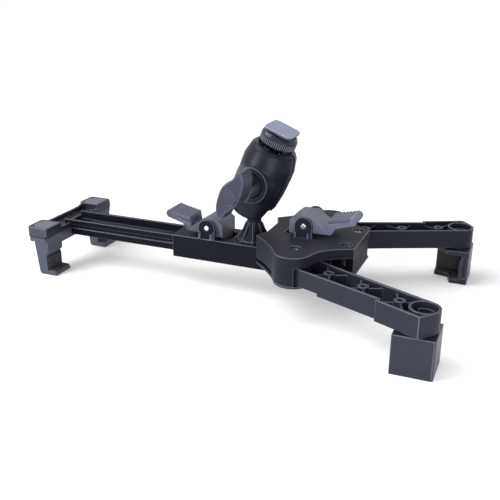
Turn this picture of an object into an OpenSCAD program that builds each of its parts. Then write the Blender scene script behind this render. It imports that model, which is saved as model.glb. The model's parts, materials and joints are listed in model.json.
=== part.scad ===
// Clamp holder for a ten inch tablet, seen from its back: a sliding rail with a
// hooked end, a hub with two swinging arms and corner jaws, and a ball head with
// a foot plate. Origin: middle of the footprint, on the plane the lips rest on.
// X runs along the rail, Z points away from the tablet.

/* [Tablet] */
// Clear length between the end hooks and the corner jaws
grip_len = 237; // [230:1:248]
// Thickness of the tablet that the lips reach around
tablet_t = 7.5; // [6:0.5:9]

/* [Arms] */
// Distance from the arm pivot to the jaw pivot
arm_len = 83; // [77:1:91]
// Half the angle between the two arms
arm_angle = 25; // [20:1:28]
// Height of an arm
arm_h = 11.3; // [10:0.1:12.5]
// Wall of the open arm sections
arm_wall = 1.5; // [1.2:0.1:2]
// Half distance between the two arm pivots
pivot_y = 28.2; // [27.5:0.1:30]

/* [Rail] */
// Width of the rail
rail_w = 19.8; // [18.5:0.1:20.4]
// Height of the rail
rail_h = 9.7; // [9:0.1:10.2]
// Pitch of the rack teeth
rack_pitch = 1.6; // [1.2:0.1:2.4]
// Length of rail left inside the housing
rail_hold = 36; // [31:1:42]

/* [Hub] */
// Thickness of the hub and housing walls
wall = 1.8; // [1.5:0.1:2.2]
// Radius of the rounded corners around the arm pivots
barrel_r = 10.4; // [10:0.1:11]
// Height of the hub cover above the arms
cover_rise = 6.2; // [5.6:0.1:7]

/* [Levers] */
// Diameter of the lever pins
pin_d = 2.8; // [2.4:0.1:3.2]
// Height of a lever pin above the face its ears stand on
pin_rise = 6.8; // [6.6:0.1:7.4]
// Width of a lever grip
grip_w = 15.6; // [13:0.1:17]

/* [Ball head] */
// Diameter of the covered balls
ball_d = 17.2; // [16.4:0.1:17.4]
// Distance between the two ball centres
ball_span = 25; // [23:0.5:28]
// Lean of the socket arm towards the jaws
head_lean = 22.3; // [14:0.1:26]
// Turn of the socket arm about the upright
head_turn = -4; // [-20:1:20]
// Length of the wings of the clamp knob
wing_len = 30; // [26:0.5:31]

/* [Foot] */
// Width of the foot plate
foot_w = 17.2; // [16.6:0.1:18.6]
// Depth of the foot plate
foot_d = 18.6; // [17:0.1:19]
// Turn of the foot plate on its stem
foot_turn = 3; // [-45:1:45]
// Thickness of the foot plate
foot_t = 2; // [1.8:0.1:2.2]
// Diameter of the lock ring
ring_d = 21.4; // [20:0.1:22.4]

/* [Hidden] */
$fn = 64;

// fits
slide_fit = 0.15;
run_fit = 0.06;
press_fit = 0.02;
screw_fit = 0.05;
air = 0.3;

// heights, from the plane of the lips up
lip_t = 3;
lip_pad_t = 0.5;
back_z = lip_t + lip_pad_t + tablet_t;
jaw_top = back_z + 10;
arm_z0 = jaw_top + 1;
arm_z1 = arm_z0 + arm_h;
base_t = 1.2;
root_z0 = arm_z0 + base_t + air;
skirt_z = arm_z1 + 0.4;
cover_z = arm_z1 + cover_rise;
rail_z0 = back_z + 8.2;
rail_z1 = rail_z0 + rail_h;
house_z0 = rail_z0 - 2.8;
house_z1 = rail_z1 + 1.3;
part_z = back_z + 13.6;
hook_z = part_z - 3.1;
cap_z = back_z + 19.4;
deck_z = part_z + 1.3;

// jaws and hooks
jaw_size = 21;
jaw_wall = 4.6;
pad_t = 0.9;
jaw_face = jaw_wall + pad_t;
jaw_in = [8, 9.5];
jaw_reach = 5;
stub_r = 4;
cap_l = 16.2;
cap_out = 36.8;
flare = 1.6;
cap_over = 1.1;
hook_pad_t = 1;
cap_bulge = 3.4;

// along X
len_x = grip_len + jaw_face + cap_l - cap_over;
right_x = len_x / 2;
left_x = -len_x / 2;
ring_x = right_x - jaw_in[0];
pivot_x = ring_x - arm_len * cos(arm_angle) - sin(arm_angle);
hook_x = left_x + cap_l;
grip_x = hook_x - cap_over;
ring_y = pivot_y + arm_len * sin(arm_angle) - cos(arm_angle);
corner_y = ring_y + jaw_in[1];

// hub outline, measured from the pivots
hub_tail = 27.1;
hub_nose = 29.9;
tail_w = 17.2;
nose_w = 17.6;
notch_x = 23.5;
notch_w = 8.5;
barrel_off = 5.8;
barrel_end = -68;
eye_r = 9.5;
post_r = 5;
nose_screw = [24, 12.7];

// housing
house_w = rail_w / 2 + slide_fit + 2.55;
house_x0 = pivot_x - 83.2;
house_x1 = pivot_x + 15.7;
rail_x0 = hook_x - 5.2;
rail_x1 = house_x0 + rail_hold;
floor_z = rail_z1 - 4;
rack_x0 = rail_x0 + 11;
rack_h = 1;
rack_w = 12;

// levers
pin_r = pin_d / 2;
ear_r = 5.2;
ear_t = 1.8;
ear_in = 10.3;
hub_r = 4.7;
lever_gap = 0.4;
rail_pin_x = pivot_x - 60.7;
arm_pin_x = pivot_x - 1.2;
rail_pin_z = house_z1 + pin_rise;
arm_pin_z = cover_z + pin_rise;
grip_slope = 12.2;
elbow_x = 12;
grip_l = 13.7;
grip_top = [elbow_x + 0.9, 4];
pad_h = 2.1;
tip_r = 2.4;
heel_l = 4.5;
toe_w = 11.6;
window_x0 = 4.7;
window_x1 = 12.8;
window_w = toe_w + 1.2;

// ball head
ball_r = ball_d / 2;
cover_t = 1.1;
core_r = ball_r - cover_t - air;
seat_r = ball_r + air;
ball_x = pivot_x - 35.3;
ball_z = house_z1 + 25.3;
neck_r = 4.2;
neck_top = house_z1 + 12;
cone_r = 11.3;
knob_s = ball_span / 2 + 0.5;
split = 2.4;
shell_r = seat_r + 6;
rim_hi = ball_span + 9;
rim_lo = 9.4;
lip_s = 4;
boss_y = 16.5;
seat_y = 13;
knob_r = 6.5;
knob_face = 40.6;
wing_t = 12.6;
bolt_r = 2;
sleeve_r = 3.1;
nut_r = 4;
stem_r = 3.4;
collar_r = 5.4;
ring_lo = ball_span + 11.6;
ring_band = 3.9;
ring_hi = ring_lo + 6.4;
foot_lo = ring_hi + air;

// points on an arc, and on a three point curve
function arc(cx, cy, r, a0, a1, n) =
    [for (i = [0:n]) let(a = a0 + (a1 - a0) * i / n) [cx + r * cos(a), cy + r * sin(a)]];
function curve(a, b, c, n) =
    [for (i = [0:n]) let(t = i / n) a * (1 - t) * (1 - t) + b * 2 * t * (1 - t) + c * t * t];
function flip(p) = [for (i = [len(p) - 1:-1:0]) [p[i][0], -p[i][1]]];

// half of the hub outline, g in from the outer face
function hub_half(g) =
    let(
        px = pivot_x,
        by = -pivot_y - barrel_off,
        bx = px + 0.7,
        r = barrel_r - g,
        tail = [px - hub_tail + g * 1.1, -tail_w + g * 0.6],
        nose = [px + hub_nose - g, -nose_w + g],
        a = arc(bx, by, r, 215, 355, 14)
    )
    concat(
        [[px - notch_x + g, -notch_w + g * 0.3]],
        curve(tail, [px - 13.1 + g * 0.8, by + 4.6 + g * 0.6], a[0], 6),
        a,
        curve(a[14], [px + 14 - g * 0.8, by + 10.8 + g * 0.6], nose, 6)
    );
function hub_outline(g) = concat(hub_half(g), flip(hub_half(g)));

module at_head() {
    translate([ball_x, 0, ball_z])
        rotate([0, 0, head_turn])
            rotate([0, head_lean, 0])
                children();
}

// two ears that carry a lever pin, on a face at z = 0
module ears() {
    for (s = [-1, 1])
        difference() {
            union() {
                translate([0, s * (ear_in + ear_t / 2), pin_rise])
                    rotate([90, 0, 0])
                        cylinder(h = ear_t, r = ear_r, center = true);
                translate([-ear_r, s * (ear_in + ear_t / 2) - ear_t / 2, -0.5])
                    cube([2 * ear_r, ear_t, pin_rise + 0.5]);
                for (x = [-1, 1])
                    translate([x * (ear_r - 0.6) - 0.6, s > 0 ? ear_in : -house_w, -0.5])
                        cube([1.2, house_w - ear_in, pin_rise - 1.8]);
            }
            translate([0, s * (ear_in + ear_t / 2), pin_rise])
                rotate([90, 0, 0])
                    cylinder(h = ear_t + 2, r = pin_r + press_fit, center = true);
        }
}

// countersunk screw, head top at z = 0, pointing down
module screw(head_r, head_h, r, l) {
    difference() {
        union() {
            translate([0, 0, -head_h])
                cylinder(h = head_h, r1 = head_r - 0.3, r2 = head_r);
            translate([0, 0, -head_h - l])
                cylinder(h = l + 0.2, r = r);
        }
        for (a = [0, 90])
            rotate([0, 0, a])
                translate([-head_r * 0.62, -0.3, -0.7])
                    cube([head_r * 1.24, 0.6, 1]);
    }
}

// slide housing with the hub base, arm posts and rail lever ears
module slide_housing() {
    color("#2b2e35")
    difference() {
        union() {
            translate([house_x0, -house_w, house_z0])
                cube([house_x1 - house_x0, 2 * house_w, house_z1 - house_z0]);
            translate([0, 0, arm_z0])
                linear_extrude(base_t)
                    polygon(hub_outline(0));
            // closed nose between the two arms
            translate([0, 0, arm_z0])
                linear_extrude(skirt_z - air - arm_z0)
                    polygon([
                        [pivot_x + 10, -house_w + 1], [pivot_x + 18, -house_w + 1],
                        [pivot_x + hub_nose - 0.4, -nose_w + 1.2],
                        [pivot_x + hub_nose - 0.4, nose_w - 1.2],
                        [pivot_x + 18, house_w - 1], [pivot_x + 10, house_w - 1]
                    ]);
            for (s = [-1, 1])
                translate([pivot_x, s * pivot_y, arm_z0 + 0.2])
                    cylinder(h = skirt_z - 0.2 - arm_z0 - 0.2, r = post_r);
            translate([rail_pin_x, 0, house_z1])
                ears();
        }
        // rail channel
        translate([house_x0 - 1, -rail_w / 2 - slide_fit, rail_z0 - slide_fit])
            cube([house_x1 - house_x0 - 1, rail_w + 2 * slide_fit, rail_h + 2 * slide_fit]);
        // window for the rail lever toe
        translate([rail_pin_x + window_x0, -window_w / 2, rail_z1])
            cube([window_x1 - window_x0, window_w, 6]);
        // screw holes of the posts and the nose
        for (s = [-1, 1]) {
            translate([pivot_x, s * pivot_y, arm_z0 + 3])
                cylinder(h = 20, r = 1.4 + screw_fit);
            translate([pivot_x + nose_screw[0], s * nose_screw[1], arm_z0 + 3])
                cylinder(h = 20, r = 1.4 + screw_fit);
        }
        // recess behind the nose wall, open below
        translate([pivot_x + 18.5, -house_w + 5, arm_z0 - 1])
            cube([hub_nose - 21, 2 * house_w - 10, skirt_z - arm_z0 - 1.5]);
    }
}

// cover of the hub with its skirt and the arm lever ears
module hub_cover() {
    by = -pivot_y - barrel_off;
    color("#31343b")
    difference() {
        union() {
            translate([0, 0, arm_z0 + base_t])
                linear_extrude(cover_z - arm_z0 - base_t)
                    polygon(hub_outline(0));
            translate([arm_pin_x, 0, cover_z])
                ears();
        }
        // hollow inside
        difference() {
            translate([0, 0, arm_z0])
                linear_extrude(cover_z - wall - arm_z0)
                    polygon(hub_outline(wall));
            // bosses that close on the posts
            for (s = [-1, 1])
                translate([pivot_x, s * pivot_y, skirt_z - 0.2])
                    cylinder(h = 20, r = post_r + 1);
            for (s = [-1, 1])
                translate([pivot_x + nose_screw[0], s * nose_screw[1], skirt_z - air])
                    cylinder(h = 20, r = 3.6);
        }
        // room for the housing
        translate([pivot_x - 60, -house_w - 0.05, arm_z0 - 1])
            cube([80, 2 * house_w + 0.1, house_z1 - arm_z0 + 1.05]);
        // open front for the arms, up to the skirt
        translate([pivot_x + 18, -60, arm_z0])
            cube([60, 120, skirt_z - arm_z0]);
        for (s = [-1, 1])
            translate([0, 0, arm_z0])
                linear_extrude(skirt_z - arm_z0)
                    polygon([
                        [pivot_x + 0.7, s * -by],
                        [pivot_x + 0.7 + 20 * cos(barrel_end), s * (-by - 20 * sin(barrel_end))],
                        [pivot_x + 40, s * (-by + 20)], [pivot_x + 40, s * 12],
                        [pivot_x - 2, s * 12]
                    ]);
        // slots over the base plate at the tail
        for (s = [-1, 1])
            translate([pivot_x - hub_tail - 2, s > 0 ? 0 : -60, arm_z0])
                cube([hub_tail - barrel_r + 1, 60, base_t + 2.8]);
        // screw holes with sunk heads
        for (p = [[0, pivot_y], nose_screw], s = [-1, 1])
            translate([pivot_x + p[0], s * p[1], 0]) {
                translate([0, 0, arm_z0])
                    cylinder(h = 30, r = 1.55);
                translate([0, 0, cover_z - 1.3])
                    cylinder(h = 3, r = 3.1);
            }
        // window for the arm lever toe
        translate([arm_pin_x - window_x1, -window_w / 2, cover_z - wall - 1])
            cube([window_x1 - window_x0, window_w, 6]);
    }
}

// ribbed pedestal with the lower ball core
module ball_post() {
    rise = neck_top - house_z1;
    color("#23252b")
    translate([ball_x, 0, house_z1])
    union() {
        rotate_extrude()
            polygon([
                [0, 0], [cone_r - 1.4, 0], [cone_r - 1.4, 1.1], [cone_r - 4.2, 2.6],
                [cone_r - 6, 5.5], [neck_r + 0.4, 9], [neck_r, rise], [neck_r, rise + 8],
                [0, rise + 8]
            ]);
        for (a = [0:45:315])
            rotate([0, 0, a + 22.5 + head_turn])
                rotate([90, 0, 0])
                    linear_extrude(1.3, center = true)
                        polygon([
                            [0, 0], [cone_r, 0], [cone_r - 0.3, 1], [cone_r - 2.6, 3],
                            [cone_r - 4.6, 6.4], [neck_r + 0.9, 10.5],
                            [neck_r - 0.4, rise - 0.6], [0, rise - 0.6]
                        ]);
        translate([0, 0, ball_z - house_z1])
            sphere(r = core_r);
    }
}

// the four screws of the hub cover
module hub_screws() {
    color("#15161a")
    for (p = [[0, pivot_y], nose_screw], s = [-1, 1])
        translate([pivot_x + p[0], s * p[1], cover_z - 0.3])
            screw(2.8, 1, 1.4, 11);
}

module lever_pin() {
    rotate([90, 0, 0])
        difference() {
            cylinder(h = 2 * (ear_in + ear_t) + 0.4, r = pin_r, center = true);
            for (s = [-1, 1])
                translate([0, 0, s * (ear_in + ear_t + 0.2)])
                    rotate_extrude()
                        polygon([[pin_r - 0.3, 0], [pin_r + 1, 0], [pin_r + 1, s * -1],
                            [pin_r, s * -0.3]]);
        }
}

module rail_lever_pin() {
    color("#c9ccd1")
    translate([rail_pin_x, 0, rail_pin_z])
        lever_pin();
}

module arm_lever_pin() {
    color("#c9ccd1")
    translate([arm_pin_x, 0, arm_pin_z])
        lever_pin();
}

// channel rail with side grooves and the rack on its floor
module rail() {
    w = rail_w / 2;
    g0 = rail_z1 - 5.5;
    g1 = rail_z1 - 3.3;
    gd = 0.8;
    t = 1.8;
    n = floor((rail_x1 - 2 - rack_x0) / rack_pitch);
    color("#2c2f36")
    difference() {
        union() {
            translate([rail_x0, 0, 0])
                rotate([90, 0, 90])
                    linear_extrude(rail_x1 - rail_x0)
                        polygon([
                            [-w, rail_z0], [w, rail_z0], [w, g0], [w - gd, g0],
                            [w - gd, g1], [w, g1], [w, rail_z1], [w - t, rail_z1],
                            [w - t - 0.3, floor_z - rack_h], [-w + t + 0.3, floor_z - rack_h],
                            [-w + t, rail_z1], [-w, rail_z1], [-w, g1], [-w + gd, g1],
                            [-w + gd, g0], [-w, g0]
                        ]);
            translate([0, rack_w / 2, 0])
                rotate([90, 0, 0])
                    linear_extrude(rack_w)
                        polygon(concat(
                            [[rack_x0 - 1, floor_z - rack_h - 0.2]],
                            [for (i = [0:n - 1], k = [0, 1])
                                [rack_x0 + rack_pitch * (i + 0.62 * k),
                                    floor_z - (k == 0 ? rack_h : 0)]],
                            [[rack_x0 + rack_pitch * n, floor_z - rack_h],
                                [rack_x0 + rack_pitch * n, floor_z - rack_h - 0.2]]
                        ));
        }
        // hollow underside with a centre web
        for (s = [-1, 1])
            translate([hook_x + 4, s > 0 ? 0.9 : -w + 2, rail_z0 - 1])
                cube([rail_x1 - hook_x - 8, w - 2.9, 3.2]);
        for (s = [-1, 1])
            translate([rail_x0 + 3.4, s * 5.5, rail_z0 - 1])
                cylinder(h = 5, r = 1.2 + screw_fit);
    }
}

// plan of one end cap, g in from its faces and f more on the two that flare
function cap_plan(g, f = 0) =
    let(x1 = hook_x - g, y0 = -20 - g, y1 = -cap_out + g + f, b = left_x + g + f)
    concat(
        [[x1, y0]],
        curve([b + cap_bulge, y0], [b, y0 - 2.4], [b, y0 - 6.4], 5),
        curve([b, y0 - 7], [b + 0.1, y1 + 3.6], [b + 4.2, y1], 7),
        [[x1 - 1, y1], [x1, y1 + 1]]
    );

// room of the flared sides of a cap, wide below and flare narrower at the top
module cap_flare() {
    h = cap_z - part_z;
    intersection() {
        translate([0, -18, 0])
            rotate([90, 0, 0])
                linear_extrude(22)
                    polygon([[left_x, part_z], [hook_x, part_z], [hook_x, cap_z],
                        [left_x + flare, cap_z]]);
        translate([left_x - 1, 0, 0])
            rotate([90, 0, 90])
                linear_extrude(cap_l + 2)
                    polygon([[-cap_out, part_z], [-18, part_z], [-18, cap_z],
                        [flare - cap_out, cap_z]]);
    }
}

// upper half of the hooked end: two raised caps on a deck with a back wall
module end_bridge() {
    color("#33363d")
    difference() {
        union() {
            for (m = [0, 1])
                mirror([0, m, 0])
                    difference() {
                        intersection() {
                            translate([0, 0, part_z])
                                linear_extrude(cap_z - part_z)
                                    polygon(cap_plan(0));
                            cap_flare();
                        }
                        translate([0, 0, cap_z - 0.5])
                            linear_extrude(1)
                                polygon(cap_plan(1.1, flare));
                    }
            translate([left_x + 2 * flare + 0.1, -21.3, part_z])
                cube([cap_l - 2 * flare - 0.3, 42.6, deck_z - part_z]);
            // back wall, its top swept up to the caps
            translate([left_x + 2 * flare, 0, 0])
                rotate([90, 0, 90])
                    linear_extrude(1.5)
                        polygon(concat(
                            [[-20.5, part_z], [20.5, part_z]],
                            curve([20.5, cap_z - 0.2], [17.5, rail_z1], [12.5, rail_z1], 6),
                            curve([-12.5, rail_z1], [-17.5, rail_z1], [-20.5, cap_z - 0.2], 6)
                        ));
            // cheeks beside the rail
            for (s = [-1, 1])
                translate([hook_x - 1.5, s > 0 ? rail_w / 2 : -21, part_z])
                    cube([1.5, 21 - rail_w / 2, rail_z1 - 1.4 - part_z]);
        }
        translate([rail_x0 - slide_fit, -rail_w / 2 - 0.02, part_z - 1])
            cube([20, rail_w + 0.04, 20]);
    }
}

// lower half: the web under the rail and the two hooks around the tablet edge
module end_hooks() {
    out_lo = left_x + 8.2;
    out_hi = left_x + 6;
    in_x = grip_x - hook_pad_t;
    leg = [
        [hook_x - 0.4, hook_z + 1], [out_hi - 0.2, hook_z + 1], [out_hi, hook_z - 1],
        [out_lo, 1.2], [out_lo + 1.2, 0], [grip_x + jaw_reach, 0],
        [grip_x + jaw_reach + 0.6, 0.8], [grip_x + jaw_reach - 0.4, lip_t],
        [in_x, lip_t], [in_x, back_z + 1.4], [hook_x - 0.4, back_z + 3]
    ];
    color("#2d3037")
    difference() {
        union() {
            for (m = [0, 1])
                mirror([0, m, 0]) {
                    translate([0, 0, hook_z])
                        linear_extrude(part_z - hook_z)
                            polygon(cap_plan(0.25));
                    translate([0, -20.3, 0])
                        rotate([90, 0, 0])
                            linear_extrude(14.7)
                                polygon(leg);
                }
            translate([left_x + 2 * flare + 0.3, -21, house_z0 + 1])
                cube([cap_l - 2 * flare - 0.6, 42, part_z - house_z0 - 1]);
        }
        translate([rail_x0 - slide_fit, -rail_w / 2 - 0.02, rail_z0])
            cube([20, rail_w + 0.04, 20]);
        // arched underside between the hooks
        translate([left_x - 1, 0, house_z0 - 5.2])
            rotate([0, 90, 0])
                cylinder(h = 20, r = 8.4, $fn = 96);
        for (s = [-1, 1])
            translate([rail_x0 + 3.4, s * 5.5, 0])
                cylinder(h = 40, r = 1.35);
        for (s = [-1, 1])
            translate([rail_x0 + 3.4, s * 5.5, 0])
                cylinder(h = house_z0 + 2.1, r = 2.6);
    }
}

// inset tops of the two caps
module cap_inlays() {
    color("#4a4e57")
    for (m = [0, 1])
        mirror([0, m, 0])
            translate([0, 0, cap_z - 0.5])
                linear_extrude(0.4)
                    polygon(cap_plan(1.2, flare));
}

// rubber faces of the two hooks: wall pad and lip pad of each
module hook_pads() {
    x = grip_x - hook_pad_t;
    color("#17181c")
    for (m = [0, 1])
        mirror([0, m, 0]) {
            translate([x, -34, lip_t])
                cube([hook_pad_t, 12.7, back_z + 0.6 - lip_t]);
            translate([x + hook_pad_t, -34, lip_t])
                cube([jaw_reach - 1.2, 12.7, lip_pad_t]);
        }
}

// the two screws that hold the rail in the hooked end, from below
module end_screws() {
    color("#15161a")
    for (s = [-1, 1])
        translate([rail_x0 + 3.4, s * 5.5, house_z0 + 1.2])
            mirror([0, 0, 1])
                screw(2.4, 0.9, 1.2, 4);
}

// press lever: pin at the origin, grip towards +X, toe behind the pin
module lever_body() {
    w = ear_in - lever_gap;
    gx = grip_top[0] + grip_l * cos(grip_slope);
    gz = grip_top[1] + grip_l * sin(grip_slope);
    difference() {
        union() {
            rotate([90, 0, 0])
                cylinder(h = 2 * w, r = hub_r, center = true);
            // neck, drawn in plan from the hub width to the grip width
            intersection() {
                rotate([90, 0, 0])
                    linear_extrude(2 * w, center = true)
                        polygon([[0, hub_r - 0.05], [2.6, hub_r - 0.05], [elbow_x, -1.6],
                            [elbow_x + 1.5, -1.6], [elbow_x + 2.4, -4.8],
                            [elbow_x + 0.4, -4.8], [1.6, -4.2], [0, 0]]);
                translate([0, 0, -10])
                    linear_extrude(20)
                        polygon([[-1, 0.1 - w], [2.8, 0.1 - w], [elbow_x + 1, 0.1 - grip_w / 2],
                            [elbow_x + 4, 0.1 - grip_w / 2], [elbow_x + 4, grip_w / 2 - 0.1],
                            [elbow_x + 1, grip_w / 2 - 0.1], [2.8, w - 0.1], [-1, w - 0.1]]);
            }
            // grip with a step up from the neck and a rounded tip
            rotate([90, 0, 0])
                linear_extrude(grip_w, center = true)
                    polygon([[elbow_x, -1.6], grip_top, [gx, gz], [gx + 0.7, gz - 4.7],
                        [elbow_x + 5.6, -0.6], [elbow_x + 2.8, -4.8], [elbow_x + 0.6, -4.8]]);
            translate([gx + 0.1, 0, gz - tip_r])
                rotate([90, 0, 0])
                    cylinder(h = grip_w, r = tip_r, center = true);
            // heel and toe
            rotate([90, 0, 0])
                linear_extrude(2 * w - 1, center = true)
                    polygon([[0, hub_r], [-hub_r - 1.5, hub_r - 0.05], [-hub_r - heel_l, 2.2],
                        [-hub_r - heel_l, 1.2 - pin_rise], [-hub_r + 0.6, 1.2 - pin_rise], [0, 0]]);
            rotate([90, 0, 0])
                linear_extrude(toe_w, center = true)
                    polygon([[-hub_r - 0.6, 2 - pin_rise], [-hub_r - heel_l, 2 - pin_rise],
                        [-hub_r - heel_l, -pin_rise - 4.6], [-hub_r - heel_l + 1, -pin_rise - 5],
                        [-hub_r - 1.4, -pin_rise - 5], [-hub_r - 0.8, -pin_rise - 4.4]]);
        }
        rotate([90, 0, 0])
            cylinder(h = 2 * w + 2, r = pin_r + run_fit, center = true);
        // seat of the ribbed pad
        translate([grip_top[0], 0, grip_top[1]])
            rotate([0, -grip_slope, 0])
                translate([-3, -grip_w, -pad_h])
                    cube([3 + grip_l - 1.8, 2 * grip_w, pad_h + 2]);
    }
}

// ribbed grip pad on the lever
module lever_pad() {
    n = 6;
    l = grip_l - 1.9;
    p = l / n;
    translate([grip_top[0], 0, grip_top[1]])
        rotate([0, -grip_slope, 0])
            rotate([90, 0, 0])
                linear_extrude(grip_w, center = true)
                    polygon(concat(
                        [[-0.8, -pad_h], [0, -0.3], [0.4, 0]],
                        [for (i = [1:n - 1], k = [-1, 0, 1])
                            [i * p + 0.5 * k, k == 0 ? -0.6 : 0]],
                        [[l - 0.2, 0], [l, -0.2], [l, -pad_h]]
                    ));
}

module rail_lever() {
    color("#3c3f47")
    translate([rail_pin_x, 0, rail_pin_z])
        mirror([1, 0, 0])
            lever_body();
}

module rail_lever_pad() {
    color("#50535c")
    translate([rail_pin_x, 0, rail_pin_z])
        mirror([1, 0, 0])
            lever_pad();
}

module arm_lever() {
    color("#3c3f47")
    translate([arm_pin_x, 0, arm_pin_z])
        lever_body();
}

module arm_lever_pad() {
    color("#50535c")
    translate([arm_pin_x, 0, arm_pin_z])
        lever_pad();
}

// plan of an arm, pivot at the origin, inner side +Y, g in from its faces
end_x0 = 61.5;
end_l = arm_len + 5.4;
jaw_eye_r = 7.7;
function arm_plan(g) =
    let(e = end_x0 + arm_len - 83)
    concat(
        arc(0, 0, eye_r - g, 250, 95, 12),
        [[20, 8.2 - g], [34, 8 - g]],
        arc(arm_len, 1, jaw_eye_r - g, 90, -20, 10),
        [[end_l - g, -9.2 + g], [end_l - 0.9 - g, -10.1 + g], [e + g + 1, -10.1 + g],
            [e + g, -7.9 + g], [12, -10 + g], [7, -9.9 + g]]
    );

// open arm section with screw bosses and cross ribs
module arm_body() {
    e = end_x0 + arm_len - 83;
    bosses = [24.5, 47, 69.5];
    top = arm_z1;
    difference() {
        union() {
            difference() {
                union() {
                    translate([0, 0, root_z0])
                        linear_extrude(top - root_z0)
                            polygon(arm_plan(0));
                    intersection() {
                        translate([0, 0, arm_z0])
                            linear_extrude(top - arm_z0)
                                polygon(arm_plan(0));
                        translate([24.8, -20, 0])
                            cube([arm_len + 20, 40, 60]);
                    }
                }
                // the open top
                difference() {
                    translate([0, 0, root_z0 + 1.4])
                        linear_extrude(20)
                            polygon(arm_plan(arm_wall));
                    cylinder(h = 80, r = eye_r);
                    translate([arm_len, 1, 0])
                        cylinder(h = 80, r = jaw_eye_r);
                }
            }
            for (b = bosses) {
                translate([b, 0, arm_z0 + 1.6])
                    cylinder(h = top - arm_z0 - 2.2, r = 3);
                for (a = [45, 135, 225, 315])
                    intersection() {
                        translate([b, 0, arm_z0 + 1.6])
                            rotate([0, 0, a])
                                translate([2.5, -0.45, 0])
                                    cube([9, 0.9, arm_h - 3.4]);
                        translate([0, 0, arm_z0])
                            linear_extrude(arm_h)
                                polygon(arm_plan(0.3));
                    }
            }
        }
        for (b = bosses)
            translate([b, 0, arm_z0 + 3])
                cylinder(h = 20, r = 1.5);
        // pivot bore on the post
        translate([0, 0, arm_z0 - 1])
            cylinder(h = 40, r = post_r + run_fit);
        // jaw pivot bore and the cup over it
        translate([arm_len, 1, arm_z0 - 1])
            cylinder(h = 40, r = stub_r + run_fit);
        translate([arm_len, 1, arm_z0 + 4.2])
            difference() {
                cylinder(h = 40, r = jaw_eye_r - 1.3);
                difference() {
                    cylinder(h = 4, r = 5.9);
                    translate([0, 0, -1])
                        cylinder(h = 6, r = 5.1);
                    translate([-10, -2, 0])
                        cube([20, 4, 10]);
                }
            }
    }
}

module near_arm() {
    color("#34373e")
    translate([pivot_x, -pivot_y, 0])
        rotate([0, 0, -arm_angle])
            arm_body();
}

module far_arm() {
    color("#34373e")
    mirror([0, 1, 0])
        translate([pivot_x, -pivot_y, 0])
            rotate([0, 0, -arm_angle])
                arm_body();
}

// corner jaw under the end of the near arm
module jaw_body() {
    x0 = right_x - jaw_size;
    y0 = -corner_y;
    w = jaw_wall;
    r = jaw_reach + pad_t;
    difference() {
        union() {
            // top plate and lip
            translate([0, 0, jaw_top - 2.6])
                linear_extrude(2.6)
                    polygon([[x0, y0], [right_x - 0.8, y0], [right_x, y0 + 0.8],
                        [right_x, y0 + jaw_size], [right_x - 13, y0 + jaw_size],
                        [x0, y0 + 13]]);
            linear_extrude(lip_t)
                polygon([[x0, y0], [right_x - 0.8, y0], [right_x, y0 + 0.8],
                    [right_x, y0 + jaw_size], [right_x - w - r, y0 + jaw_size],
                    [right_x - w - r - 2, y0 + w + r + 2], [x0, y0 + w + r]]);
            // the two walls
            linear_extrude(jaw_top)
                polygon([[x0, y0], [right_x - 0.8, y0], [right_x, y0 + 0.8],
                    [right_x, y0 + jaw_size], [right_x - w, y0 + jaw_size],
                    [right_x - w, y0 + w], [x0, y0 + w]]);
            translate([ring_x, -ring_y, jaw_top - 0.5])
                cylinder(h = 0.5 + 0.8, r = 6);
            translate([ring_x, -ring_y, jaw_top - 0.5])
                cylinder(h = arm_z0 + 4.4 - jaw_top + 0.5, r = stub_r);
        }
        // sunk ends of the walls
        translate([right_x - w + 1.1, y0 + jaw_size - 1, lip_t + 1])
            cube([w - 2.2, 2, jaw_top - lip_t - 4.6]);
        translate([x0 - 1, y0 + 1.1, lip_t + 1])
            cube([2, w - 2.2, jaw_top - lip_t - 4.6]);
        translate([ring_x, -ring_y, jaw_top - 2])
            cylinder(h = 20, r = 1.4 + screw_fit);
    }
}

module near_jaw() {
    color("#3a3d45")
    jaw_body();
}

module far_jaw() {
    color("#3a3d45")
    mirror([0, 1, 0])
        jaw_body();
}

// rubber faces of a jaw: two walls and the lip
module jaw_pads() {
    x = right_x - jaw_wall;
    y = -corner_y + jaw_wall;
    h = back_z + 4 - lip_t;
    translate([0, 0, lip_t])
        linear_extrude(h)
            polygon([[x, y], [x, y + 16], [x - pad_t, y + 16], [x - pad_t, y + pad_t],
                [x - 16, y + pad_t], [x - 16, y]]);
    translate([0, 0, lip_t])
        linear_extrude(lip_pad_t)
            polygon([[x - pad_t, y + pad_t], [x - pad_t, y + 16],
                [x - jaw_reach, y + 16], [x - jaw_reach - 1, y + jaw_reach + 1],
                [x - 16, y + jaw_reach], [x - 16, y + pad_t]]);
}

module near_jaw_pads() {
    color("#17181c")
    jaw_pads();
}

module far_jaw_pads() {
    color("#17181c")
    mirror([0, 1, 0])
        jaw_pads();
}

module jaw_screw() {
    translate([ring_x, -ring_y, arm_z0 + 4.4]) {
        cylinder(h = 0.8, r = 4.9);
        translate([0, 0, 2])
            screw(3, 1.4, 1.4, 6);
    }
}

module near_jaw_screw() {
    color("#8d9096")
    jaw_screw();
}

module far_jaw_screw() {
    color("#8d9096")
    mirror([0, 1, 0])
        jaw_screw();
}

// rubber cover of a ball, open below for the neck
module ball_cover(open_r) {
    rotate_extrude()
        polygon(concat(
            arc(0, 0, ball_r, -90 + asin(open_r / ball_r), 90, 22),
            [for (p = arc(0, 0, core_r + air, 90, -90 + asin(open_r / (core_r + air)), 22)) p]
        ));
}

module lower_ball() {
    color("#1b1c20")
    translate([ball_x, 0, ball_z])
        ball_cover(neck_r + 0.6);
}

module upper_ball() {
    color("#1b1c20")
    at_head()
        translate([0, 0, ball_span])
            rotate([180, 0, 0])
                ball_cover(stem_r + 1.8);
}

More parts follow.
